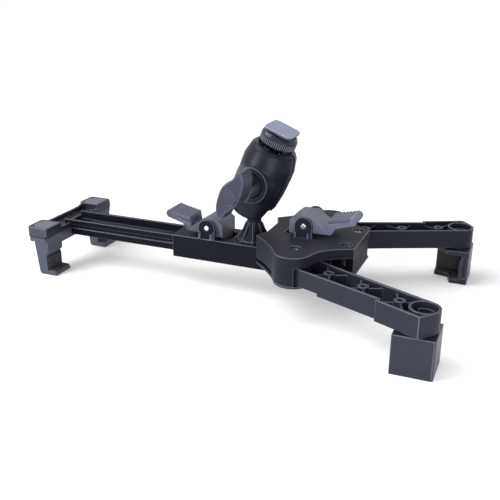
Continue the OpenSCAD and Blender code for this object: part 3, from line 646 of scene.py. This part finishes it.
def shade_by_angle(obj, degrees=35):
    """smooth shading that breaks where the surface turns by more than this"""
    mesh = obj.data
    mesh.polygons.foreach_set("use_smooth", [True] * len(mesh.polygons))
    mesh.set_sharp_from_angle(angle=math.radians(degrees))


def keep_result(obj, modifier):
    """make what the modifier shows the object's plain mesh"""
    evaluated = obj.evaluated_get(bpy.context.evaluated_depsgraph_get())
    made = bpy.data.meshes.new_from_object(evaluated)
    obj.modifiers.remove(modifier)
    obj.data = made


def weigh_normals(obj):
    """smooth shading in which large faces stay flat"""
    shade_by_angle(obj, 50)
    modifier = obj.modifiers.new("weighted", "WEIGHTED_NORMAL")
    modifier.keep_sharp = True
    keep_result(obj, modifier)


print("object helpers ready")

# %% Make the rounded copies
FLATNESS = math.radians(0.3)  # triangles that differ by less become one face
# the paler finish that each plastic's rounds take: wear and a painted highlight
EDGE_FINISH = {
    "housing plastic": "polished and highlit edge",
    "hub plastic": "polished and highlit edge",
    "arm plastic": "polished and highlit edge",
    "jaw plastic": "polished and highlit edge",
    "bridge plastic": "bridge polished and highlit edge",
    "rail plastic": "polished and highlit edge",
    "shell plastic": "polished and highlit edge",
    "knob plastic": "polished and highlit edge",
}
# the radius of each piece's rounds, in millimetres
ROUNDS = {
    "slide_housing": 0.35,
    "hub_cover": 0.4,
    "ball_post": 0.25,
    "rail": 0.25,
    "end_bridge": 0.4,
    "end_hooks": 0.35,
    "near_arm": 0.3,
    "far_arm": 0.3,
    "near_jaw": 0.4,
    "far_jaw": 0.4,
    "rail_lever": 0.35,
    "arm_lever": 0.35,
    "rail_lever_pad": 0.2,
    "arm_lever_pad": 0.2,
    "socket_near": 0.3,
    "socket_far": 0.3,
    "clamp_knob": 0.4,
    "knob_cap": 0.15,
    "cap_inlays": 0.1,
}


def rounded_piece(node, radius):
    shape = merged_copy(node)
    bmesh.ops.dissolve_limit(
        shape, angle_limit=FLATNESS, verts=shape.verts, edges=shape.edges
    )
    obj = object_from(node + "_rounded", bevelled(shape, radius * MM))
    shape.free()
    finish = finish_of[node]
    obj.data.materials.append(finishes[finish])
    obj.data.materials.append(finishes[EDGE_FINISH.get(finish, finish)])
    weigh_normals(obj)
    take_place_of(obj, node)
    return obj


for node, radius in ROUNDS.items():
    piece = rounded_piece(node, radius)
    print(piece.name, len(piece.data.polygons), "faces, rounds of", radius, "mm")

# %% [markdown]
# ## Recessed screws with Geometry Nodes
#
# Six screws show from above: four close the hub, and one holds each jaw to its
# arm. A screw could be modelled once and copied by hand, but one tree makes them
# all and keeps them alike. It builds a domed head with a cross recess and a
# shank, and puts a copy on each point of the object's mesh. The sizes are named
# inputs, so each group of screws is one object with its own values. Booleans
# inside the tree cut the dome and the cross, and Realize Instances turns the
# copies into real faces. The two screws under the hooked end stay as solids.


# %% Node tree helpers
def new_tree(name, inputs):
    """an empty tree with these named inputs, its input sockets and output sockets"""
    tree = bpy.data.node_groups.new(name, "GeometryNodeTree")
    for label, kind in inputs:
        tree.interface.new_socket(label, in_out="INPUT", socket_type=kind)
    tree.interface.new_socket("Geometry", in_out="OUTPUT", socket_type="NodeSocketGeometry")
    source = tree.nodes.new("NodeGroupInput")
    sink = tree.nodes.new("NodeGroupOutput")
    return tree, source.outputs, sink.inputs


def geo(tree, kind, links=None, values=None, **settings):
    """a node with some inputs linked and others set to plain values"""
    node = add_node(tree, kind, values, **settings)
    for key, socket in (links or {}).items():
        tree.links.new(socket, node.inputs[key])
    return node


def vector_of(tree, x=None, y=None, z=None):
    node = tree.nodes.new("ShaderNodeCombineXYZ")
    for socket, value in zip(node.inputs, (x, y, z)):
        feed(tree, socket, value)
    return node.outputs[0]


def cylinder(tree, radius, height, sides):
    links = {"Radius": radius, "Depth": height}
    node = geo(tree, "GeometryNodeMeshCylinder", links, {"Vertices": sides})
    return node.outputs["Mesh"]


def raised(tree, geometry, height):
    """the geometry moved up, or down where the height is negative"""
    links = {"Geometry": geometry, "Translation": vector_of(tree, z=height)}
    return geo(tree, "GeometryNodeTransform", links).outputs[0]


def copies(tree, points, instance, **links):
    """a real copy of the instance on each point"""
    links = {"Points": points, "Instance": instance, **links}
    placed = geo(tree, "GeometryNodeInstanceOnPoints", links)
    return geo(tree, "GeometryNodeRealizeInstances", {"Geometry": placed.outputs[0]}).outputs[0]


def finished(tree, geometry, finish):
    links = {"Geometry": geometry, "Material": finish}
    return geo(tree, "GeometryNodeSetMaterial", links).outputs[0]


def run_tree(obj, tree, values):
    """set the inputs by identifier, evaluate, and keep the result as a plain mesh"""
    modifier = obj.modifiers.new(tree.name, "NODES")
    modifier.node_group = tree
    names = {item.name: item.identifier for item in tree.interface.items_tree}
    for label, value in values.items():
        modifier[names[label]] = value
    keep_result(obj, modifier)


print("tree helpers ready")


# %% The screw tree
DOME = 2.2  # radius of the head's dome, in head radii
RECESS_LENGTH = 1.25  # length of the cross, in head radii
RECESS_DEPTH = 1.1  # height of the bars that cut it, half of it inside the head
WASHER_HEIGHT = 0.55  # in head heights, as the next two are
WASHER_DROP = 1.14
SHANK_DROP = 0.8


def screw_tree():
    size = "NodeSocketFloat"
    tree, given, result = new_tree(
        "recessed screw",
        [
            ("Points", "NodeSocketGeometry"),
            ("Head radius", size),
            ("Head height", size),
            ("Shank radius", size),
            ("Shank length", size),
            ("Slot width", size),
            ("Washer radius", size),
            ("Finish", "NodeSocketMaterial"),
        ],
    )
    radius, height = given["Head radius"], given["Head height"]

    def times(socket, factor):
        return math_node(tree, "MULTIPLY", socket, factor)

    # a large sphere cut by a drum gives the flat dome of the head
    dome_radius = times(radius, DOME)
    fine = {"Segments": 48, "Rings": 48}
    sphere = geo(tree, "GeometryNodeMeshUVSphere", {"Radius": dome_radius}, fine)
    dome = raised(tree, sphere.outputs["Mesh"], times(dome_radius, -1))
    drum = raised(tree, cylinder(tree, radius, height, 40), times(height, -0.5))
    head = geo(tree, "GeometryNodeMeshBoolean", operation="INTERSECT")
    for part in (dome, drum):
        tree.links.new(part, head.inputs["Mesh 2"])

    # two crossed bars make the recess
    wide, narrow = times(radius, RECESS_LENGTH), given["Slot width"]
    deep = times(height, RECESS_DEPTH)
    links = {"Mesh 1": head.outputs[0]}
    cut = geo(tree, "GeometryNodeMeshBoolean", links, operation="DIFFERENCE")
    for x, y in ((wide, narrow), (narrow, wide)):
        bar = geo(tree, "GeometryNodeMeshCube", {"Size": vector_of(tree, x, y, deep)})
        tree.links.new(bar.outputs["Mesh"], cut.inputs["Mesh 2"])

    # the shank below the head, and a washer where one is asked for
    stick = cylinder(tree, given["Shank radius"], given["Shank length"], 24)
    low = math_node(
        tree, "MULTIPLY_ADD", given["Shank length"], -0.5, times(height, -SHANK_DROP)
    )
    shank = raised(tree, stick, low)
    plate = cylinder(tree, given["Washer radius"], times(height, WASHER_HEIGHT), 48)
    washer = raised(tree, plate, times(height, -WASHER_DROP))
    wanted = geo(tree, "GeometryNodeSwitch", {"True": washer}, input_type="GEOMETRY")
    has_washer = math_node(tree, "GREATER_THAN", given["Washer radius"], 0.1 * MM)
    tree.links.new(has_washer, wanted.inputs[0])

    whole = geo(tree, "GeometryNodeMeshBoolean", operation="UNION")
    for part in (cut.outputs[0], shank, wanted.outputs[0]):
        tree.links.new(part, whole.inputs["Mesh 2"])
    spots = geo(tree, "GeometryNodeMeshToPoints", {"Mesh": given["Points"]})
    screws = copies(tree, spots.outputs[0], whole.outputs[0])
    tree.links.new(finished(tree, screws, given["Finish"]), result["Geometry"])
    return tree


recessed_screw = screw_tree()
print("screw tree:", len(recessed_screw.nodes), "nodes")

# %% [markdown]
# The points for each group come from the solids themselves: every loose screw in
# a solid is one island of faces, and the middle of its top is where the new head
# goes. So the screws stay in their holes wherever the holes are. A jaw's screw
# and its washer are two islands, and the higher one is the screw.


# %% Find the screws
def islands(shape):
    """the separate closed shells of a bmesh, each as a list of vertices"""
    left, found = set(shape.verts), []
    for start in shape.verts:
        if start not in left:
            continue
        left.remove(start)
        group, waiting = [], [start]
        while waiting:
            vert = waiting.pop()
            group.append(vert)
            for edge in vert.link_edges:
                other = edge.other_vert(vert)
                if other in left:
                    left.remove(other)
                    waiting.append(other)
        found.append(group)
    return found


def tops(node):
    """the middle of every island's top, the highest first"""
    shape = merged_copy(node)
    points = []
    for group in islands(shape):
        low = Vector([min(v.co[i] for v in group) for i in range(3)])
        high = Vector([max(v.co[i] for v in group) for i in range(3)])
        points.append(((low.x + high.x) / 2, (low.y + high.y) / 2, high.z))
    shape.free()
    return sorted(points, key=lambda point: -point[2])


print("screws in the hub:", len(tops("hub_screws")))

# %% Put the screws in their places
HUB_SCREW = {
    "Head radius": 2.8,
    "Head height": 1.0,
    "Shank radius": 1.4,
    "Shank length": 11,
    "Slot width": 0.75,
    "Washer radius": 0,
}
JAW_SCREW = {
    "Head radius": 3,
    "Head height": 1.4,
    "Shank radius": 1.4,
    "Shank length": 6,
    "Slot width": 0.8,
    "Washer radius": 4.9,
}


def point_object(name, points):
    mesh = bpy.data.meshes.new(name)
    mesh.from_pydata(points, [], [])
    return new_object(name, mesh)


def place_screws(name, node, count, sizes):
    """put screws of these sizes, in millimetres, where the solid has its own"""
    screws = point_object(name, tops(node)[:count])
    values = {label: size * MM for label, size in sizes.items()}
    run_tree(screws, recessed_screw, {**values, "Finish": finishes["screw steel"]})
    shade_by_angle(screws)
    take_place_of(screws, node)
    print(name, "at", count, "points,", len(screws.data.polygons), "faces")


place_screws("hub_cross_screws", "hub_screws", 4, HUB_SCREW)
place_screws("near_jaw_cross_screw", "near_jaw_screw", 1, JAW_SCREW)
place_screws("far_jaw_cross_screw", "far_jaw_screw", 1, JAW_SCREW)

# %% [markdown]
# ## Grooved rubber faces
#
# The rubber that lines the hooks and the jaws is grooved, so that it grips. Bump
# in the finish would show grooves from the front, but not at the rubber's edge,
# so they are cut. Each groove is a thin bar, the bars stand on a row of points,
# and one boolean takes them all out of the rubber. The rubber keeps its outer
# size, because the tree only cuts.


# %% The groove tree
def groove_tree():
    tree, given, result = new_tree(
        "grooved rubber",
        [
            ("Rubber", "NodeSocketGeometry"),
            ("Start", "NodeSocketVector"),
            ("Step", "NodeSocketVector"),
            ("Count", "NodeSocketInt"),
            ("Bar", "NodeSocketVector"),
            ("Finish", "NodeSocketMaterial"),
        ],
    )
    links = {"Count": given["Count"], "Start Location": given["Start"], "Offset": given["Step"]}
    row = geo(tree, "GeometryNodeMeshLine", links, mode="OFFSET")
    bar = geo(tree, "GeometryNodeMeshCube", {"Size": given["Bar"]})
    bars = copies(tree, row.outputs[0], bar.outputs["Mesh"])
    links = {"Mesh 1": given["Rubber"], "Mesh 2": bars}
    cut = geo(tree, "GeometryNodeMeshBoolean", links, operation="DIFFERENCE")
    tree.links.new(finished(tree, cut.outputs[0], given["Finish"]), result["Geometry"])
    return tree


grooved_rubber = groove_tree()
print("groove tree:", len(grooved_rubber.nodes), "nodes")


# %% Groove the hook and jaw rubber
GROOVE_STEP = (0, 0, 1.4)  # millimetres, as all sizes in this cell
GROOVE_HEIGHT = 0.5
HOOK_RUBBER, HOOK_FIRST, HOOK_GROOVES = 1.8, 1.6, 6  # depth, lowest groove, how many
JAW_RUBBER, JAW_FIRST, JAW_GROOVES = 0.9, 1.9, 7
JAW_BAR = (0.4, 13)  # depth and length of a bar on one of the jaw's two faces


def groove(obj, start, count, bar):
    values = {
        "Start": [v * MM for v in start],
        "Step": [v * MM for v in GROOVE_STEP],
        "Count": count,
        "Bar": [v * MM for v in bar],
        "Finish": finishes["grip rubber"],
    }
    run_tree(obj, grooved_rubber, values)


hook_rubber = object_from("hook_grip_rubber", merged_copy("hook_pads"))
low, high = (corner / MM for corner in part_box("hook_pads"))
start = (low.x + HOOK_RUBBER, 0, low.z + HOOK_FIRST)
groove(hook_rubber, start, HOOK_GROOVES, (0.5, high.y * 2 + 1, GROOVE_HEIGHT))
take_place_of(hook_rubber, "hook_pads")
for side, node in ((-1, "near_jaw_pads"), (1, "far_jaw_pads")):
    jaw_rubber = object_from(node + "_grooved", merged_copy(node))
    low, high = (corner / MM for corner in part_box(node))
    deep, long = JAW_BAR
    face_x = high.x - JAW_RUBBER
    face_y = (low.y if side < 0 else high.y) - side * JAW_RUBBER
    z = low.z + JAW_FIRST
    middle_x, middle_y = (low.x + high.x) / 2, (low.y + high.y) / 2
    groove(jaw_rubber, (face_x, middle_y, z), JAW_GROOVES, (deep, long, GROOVE_HEIGHT))
    groove(jaw_rubber, (middle_x, face_y, z), JAW_GROOVES, (long, deep, GROOVE_HEIGHT))
    take_place_of(jaw_rubber, node)
print("grooved the rubber of the hooks and jaws")

# %% [markdown]
# ## Knurled lock ring
#
# The lock ring is turned: a smooth cone above and a band of grip ridges below.
# The body is a lathe shape, a profile carried round the axis. The Screw modifier
# spins a profile too, but a short loop gives a closed shell with no seam. The
# ridges repeat round a circle, so Geometry Nodes put one bar on each point of a
# mesh circle and turn it to face outwards. Everything is made upright first and
# then leaned over with the head.

# %% Lathe and head axis
LOWER_BALL = (9.854, 0, 55.5)  # the ball that the head turns on, in millimetres
HEAD_TURN, HEAD_LEAN = -4, 22.3  # degrees
HEAD = (
    Matrix.Translation(Vector(LOWER_BALL) * MM)
    @ Matrix.Rotation(math.radians(HEAD_TURN), 4, "Z")
    @ Matrix.Rotation(math.radians(HEAD_LEAN), 4, "Y")
)


def lathe(name, profile, steps=96):
    """a closed profile of (radius, height) in millimetres carried round the z axis"""
    shape = bmesh.new()
    rings = []
    for step in range(steps):
        angle = 2 * math.pi * step / steps
        c, s = math.cos(angle) * MM, math.sin(angle) * MM
        rings.append([shape.verts.new((r * c, r * s, z * MM)) for r, z in profile])
    for here, there in zip(rings, rings[1:] + rings[:1]):
        for i in range(len(profile)):
            j = (i + 1) % len(profile)
            shape.faces.new((here[i], there[i], there[j], here[j]))
    bmesh.ops.recalc_face_normals(shape, faces=shape.faces)
    return object_from(name, shape)


def settle(obj, place, sharp=35):
    """move the piece to its place by moving its mesh, and shade it"""
    obj.data.transform(place)
    shade_by_angle(obj, sharp)


# heights above the lower ball and radii, in millimetres
RING_LOW, RING_BAND, RING_HIGH = 36.6, 40.4, 43.0
RING_R, RING_BORE = 10.7, 3.8
ring_profile = [
    (RING_BORE, RING_LOW),
    (9.2, RING_LOW),
    (9.6, RING_LOW + 0.4),
    (9.8, RING_BAND - 0.3),
    (RING_R - 0.25, RING_BAND),
    (RING_R - 0.1, RING_BAND + 0.25),
    (RING_R - 0.25, RING_BAND + 0.55),
    (RING_R - 1.1, RING_HIGH - 0.5),
    (RING_R - 1.6, RING_HIGH - 0.12),
    (RING_R - 2.1, RING_HIGH),
    (RING_BORE, RING_HIGH),
]
ring = lathe("knurled_lock_ring", ring_profile)
print("ring body:", len(ring.data.polygons), "faces")


# %% The knurl tree
def knurl_tree():
    length = "NodeSocketFloat"
    tree, given, result = new_tree(
        "grip ridges round a ring",
        [
            ("Body", "NodeSocketGeometry"),
            ("Ridges", "NodeSocketInt"),
            ("Ring radius", length),
            ("Ridge radius", length),
            ("Ridge length", length),
            ("Height", length),
            ("Body finish", "NodeSocketMaterial"),
            ("Ridge finish", "NodeSocketMaterial"),
        ],
    )
    links = {"Vertices": given["Ridges"], "Radius": given["Ring radius"]}
    circle = geo(tree, "GeometryNodeMeshCircle", links)
    spots = raised(tree, circle.outputs[0], given["Height"])
    bar = cylinder(tree, given["Ridge radius"], given["Ridge length"], 8)
    # the spot without its height points away from the axis
    outwards = geo(tree, "ShaderNodeVectorMath", operation="MULTIPLY")
    outwards.inputs[1].default_value = (1, 1, 0)
    spot = geo(tree, "GeometryNodeInputPosition")
    tree.links.new(spot.outputs[0], outwards.inputs[0])
    links = {"Vector": outwards.outputs[0]}
    turned = geo(tree, "FunctionNodeAlignRotationToVector", links, axis="X")
    ridges = copies(tree, spots, bar, Rotation=turned.outputs[0])
    both = geo(tree, "GeometryNodeJoinGeometry")
    for part, finish in ((ridges, "Ridge finish"), (given["Body"], "Body finish")):
        tree.links.new(finished(tree, part, given[finish]), both.inputs[0])
    tree.links.new(both.outputs[0], result["Geometry"])
    return tree


knurl = {
    "Ridges": 56,
    "Ring radius": 10.2 * MM,
    "Ridge radius": 0.34 * MM,
    "Ridge length": (RING_BAND - RING_LOW - 0.5) * MM,
    "Height": (RING_LOW + RING_BAND - 0.3) / 2 * MM,
    "Body finish": finishes["ring plastic"],
    # the ridges' paler finish is a painted highlight
    "Ridge finish": finishes["ridge highlight plastic"],
}
run_tree(ring, knurl_tree(), knurl)
settle(ring, HEAD, 50)
take_place_of(ring, "lock_ring")
print("ring with ridges:", len(ring.data.polygons), "faces")

# %% [markdown]
# ## Foot plate
#
# The foot that slides into a shoe is a thin pale plate with round corners, a dark
# ledge just under it and a smaller block below, so a shadow gap shows under its
# rim. A bevelled box would give all edges one radius. Stacked outlines leave each
# its own: a rounded rectangle is drawn at several heights, with a small step in
# where an edge is rounded.


# %% Stacked outlines
def rounded_rectangle(half_x, half_y, corner, steps=8):
    """the outline's points, anticlockwise seen from above"""
    points = []
    for k, (sx, sy) in enumerate([(1, 1), (-1, 1), (-1, -1), (1, -1)]):
        for i in range(steps + 1):
            angle = math.pi / 2 * (k + i / steps)
            points.append(
                (
                    sx * (half_x - corner) + corner * math.cos(angle),
                    sy * (half_y - corner) + corner * math.sin(angle),
                )
            )
    return points


def stacked(name, half_x, half_y, corner, layers):
    """layers of (inset, height) in millimetres, from the bottom to the top"""
    shape = bmesh.new()
    rings = []
    for inset, z in layers:
        outline = rounded_rectangle(half_x - inset, half_y - inset, corner - inset)
        rings.append([shape.verts.new((x * MM, y * MM, z * MM)) for x, y in outline])
    for low, high in zip(rings, rings[1:]):
        for i in range(len(low)):
            j = (i + 1) % len(low)
            shape.faces.new((low[i], low[j], high[j], high[i]))
    shape.faces.new(rings[0][::-1])
    shape.faces.new(rings[-1])
    return object_from(name, shape)


print("outline of", len(rounded_rectangle(8, 9, 3)), "points for each layer")

# %% Make the foot
PLATE = (8.3, 9.1, 3.2)  # half sizes and corner radius, in millimetres
BLOCK = (5.8, 6.6, 2)
FOOT_LOW, FOOT_TOP = 43.3, 45.3  # heights above the lower ball
FOOT_TURN = HEAD @ Matrix.Rotation(math.radians(3), 4, "Z")

# each layer is (step in, height)
plate_layers = [
    (0.2, FOOT_TOP - 0.7),
    (0, FOOT_TOP - 0.55),
    (0, FOOT_TOP - 0.2),
    (0.2, FOOT_TOP),
]
ledge_layers = [
    (1.2, FOOT_LOW + 0.35),
    (0.3, FOOT_LOW + 0.35),
    (0.15, FOOT_LOW + 0.5),
    (0.15, FOOT_LOW + 0.85),
    (0.3, FOOT_LOW + 1),
    (1, FOOT_LOW + 1),
    (1, FOOT_TOP - 0.7),
]
block_layers = [(0.2, FOOT_LOW), (0, FOOT_LOW + 0.1), (0, FOOT_LOW + 0.35)]
for name, outline, layers, finish in (
    ("foot_top_plate", PLATE, plate_layers, "foot plastic"),
    ("foot_ledge", PLATE, ledge_layers, "ledge plastic"),
    ("foot_block", BLOCK, block_layers, "shell plastic"),
):
    piece = stacked(name, *outline, layers)
    piece.data.materials.append(finishes[finish])
    settle(piece, FOOT_TURN)
    take_place_of(piece, "foot_plate")
    print(piece.name, len(piece.data.polygons), "faces")

# %% [markdown]
# ## Gussets of the lever ears
#
# Each ear that carries a lever pin stands on two small upright ribs, which stop
# it from bending. They could be drawn as boxes, but a cone with four sides tapers
# as the mould needs. One rib is put on a list of points, with a flat side
# outwards, and the list is made from the two rows of ears.


# %% The gusset tree
def gusset_tree():
    length = "NodeSocketFloat"
    tree, given, result = new_tree(
        "ribs at the foot of an ear",
        [
            ("Points", "NodeSocketGeometry"),
            ("Foot radius", length),
            ("Top radius", length),
            ("Rib height", length),
            ("Finish", "NodeSocketMaterial"),
        ],
    )
    links = {
        "Radius Top": given["Top radius"],
        "Radius Bottom": given["Foot radius"],
        "Depth": given["Rib height"],
    }
    cone = geo(tree, "GeometryNodeMeshCone", links, {"Vertices": 4})
    rib = geo(tree, "GeometryNodeTransform", {"Geometry": cone.outputs["Mesh"]})
    rib.inputs["Rotation"].default_value = (0, 0, math.pi / 4)
    ribs = copies(tree, given["Points"], rib.outputs[0])
    tree.links.new(finished(tree, ribs, given["Finish"]), result["Geometry"])
    return tree


print("rib tree ready")

# %% Put the ribs beside the ears
EAR_SIDE = 12.1  # how far the outer side of an ear is from the middle plane
EAR_ROWS = ((-16.35, 30.15), (43.15, 39.45))  # X and height of each pair of ears
APART = 3.7  # from the middle of an ear to each of its ribs
places = [
    ((x + dx) * MM, side * (EAR_SIDE + 0.1) * MM, height * MM)
    for x, height in EAR_ROWS
    for dx in (-APART, APART)
    for side in (-1, 1)
]
rib_sizes = {
    "Foot radius": 0.95 * MM,
    "Top radius": 0.55 * MM,
    "Rib height": 3.4 * MM,
}
gussets = point_object("ear_gussets", places)
run_tree(gussets, gusset_tree(), {**rib_sizes, "Finish": finishes["ledge plastic"]})
shade_by_angle(gussets, 30)
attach(gussets, "chassis")
print("gussets:", len(places), "ribs,", len(gussets.data.polygons), "faces")

# %% [markdown]
# ## Floor and world
#
# The holder stands on white paper that runs on past the picture. Paper lit until
# it is pure white would flood the black plastic with light. So the floor and the
# world are white where the camera and shiny surfaces look at them, and plain where
# they light the holder, and Light Path tells the two apart. The floor keeps the
# holder's soft shadow because most of its brightness is still reflected light.


# %% Seen directly or in a shine
def looked_at(tree):
    """1 for rays from the camera, a shine or a clear material, 0 for lighting rays"""
    path = add_node(tree, "ShaderNodeLightPath").outputs
    seen = math_node(tree, "MAXIMUM", path["Is Camera Ray"], path["Is Glossy Ray"])
    return math_node(tree, "MAXIMUM", seen, path["Is Transmission Ray"])


print("light path helper ready")

# %% World
AMBIENT = 0.36
WHITE = (1, 1, 1, 1)

world = bpy.data.worlds.new("white_studio")
bpy.context.scene.world = world
world.use_nodes = True
tree = world.node_tree
background = tree.nodes["Background"]
dim = (AMBIENT, AMBIENT, AMBIENT * 1.03, 1)
shade = mix_colour(tree, looked_at(tree), dim, WHITE)
tree.links.new(shade, background.inputs["Color"])
background.inputs["Strength"].default_value = 1
print("world at", AMBIENT, "of white for lighting rays")

# %% Floor
FLOOR_HALF = 12  # metres; beyond it the world is as white
FLOOR_Z = -0.1 * MM  # just under the hooks and jaws
GLOW = 0.24  # what lifts the paper to white where it is looked at

floor_mesh = bpy.data.meshes.new("studio_floor")
corners = [(-1, -1), (1, -1), (1, 1), (-1, 1)]
spots = [(x * FLOOR_HALF, y * FLOOR_HALF, FLOOR_Z) for x, y in corners]
floor_mesh.from_pydata(spots, [], [(0, 1, 2, 3)])
floor = new_object("studio_floor", floor_mesh)
paper, tree, shader = new_finish("white paper")
pulp = noise(tree, 0.05, 3)
tint = mix_colour(tree, pulp, (0.79, 0.79, 0.79, 1), (0.81, 0.81, 0.81, 1))
tree.links.new(tint, shader.inputs["Base Color"])
shader.inputs["Roughness"].default_value = 1
shader.inputs["Specular IOR Level"].default_value = 0
shader.inputs["Emission Color"].default_value = WHITE
glow = math_node(tree, "MULTIPLY", looked_at(tree), GLOW)
tree.links.new(glow, shader.inputs["Emission Strength"])
floor_mesh.materials.append(paper)
print("paper floor", 2 * FLOOR_HALF, "m wide")

# %% [markdown]
# ## Light
#
# A product on white is lit by large soft boxes. Area lamps alone would leave the
# paper unevenly bright, so two suns with a wide angle do the main work: a sun is
# as bright everywhere. Two small area lamps then stand close to the holder. One
# is by the hooked end, which is its brightest part. The other, weaker, is by the
# near jaw, so that the side of the near arm doesn't sink into black.


# %% Suns
def soft_sun(name, azimuth, height, strength, spread):
    """a sun that shines from this azimuth (0 is in front, -Y) and height, in degrees"""
    data = bpy.data.lights.new(name, "SUN")
    data.energy = strength
    data.angle = math.radians(spread)
    lamp = new_object(name, data)
    lamp.rotation_euler = (math.radians(90 - height), 0, math.radians(azimuth))


soft_sun("key_sun", azimuth=-66, height=52, strength=2.15, spread=45)
soft_sun("rim_sun", azimuth=170, height=50, strength=0.5, spread=60)
print("a key sun and a rim sun")


# %% Soft boxes
def soft_box(name, energy, place, aim_at, size=0.16):
    """a square light at a place, turned to what it lights, in metres"""
    data = bpy.data.lights.new(name, "AREA")
    data.energy = energy
    data.size = size
    lamp = new_object(name, data)
    lamp.location = place
    view = Vector(aim_at) - lamp.location
    lamp.rotation_euler = view.to_track_quat("-Z", "Y").to_euler()


soft_box("left_soft_box", 1.1, (-0.27, -0.29, 0.14), (-0.1, 0, 0.03))
soft_box("right_soft_box", 0.45, (0.15, -0.23, 0.06), (0.12, -0.06, 0.02))
print("soft boxes by the hooked end and by the near jaw")

# %% [markdown]
# ## Finish
#
# Blender's usual view transform softens bright colours, and white paper turns
# grey. Standard shows colours as they were written.

# %% Finish
bpy.context.scene.view_settings.view_transform = "Standard"
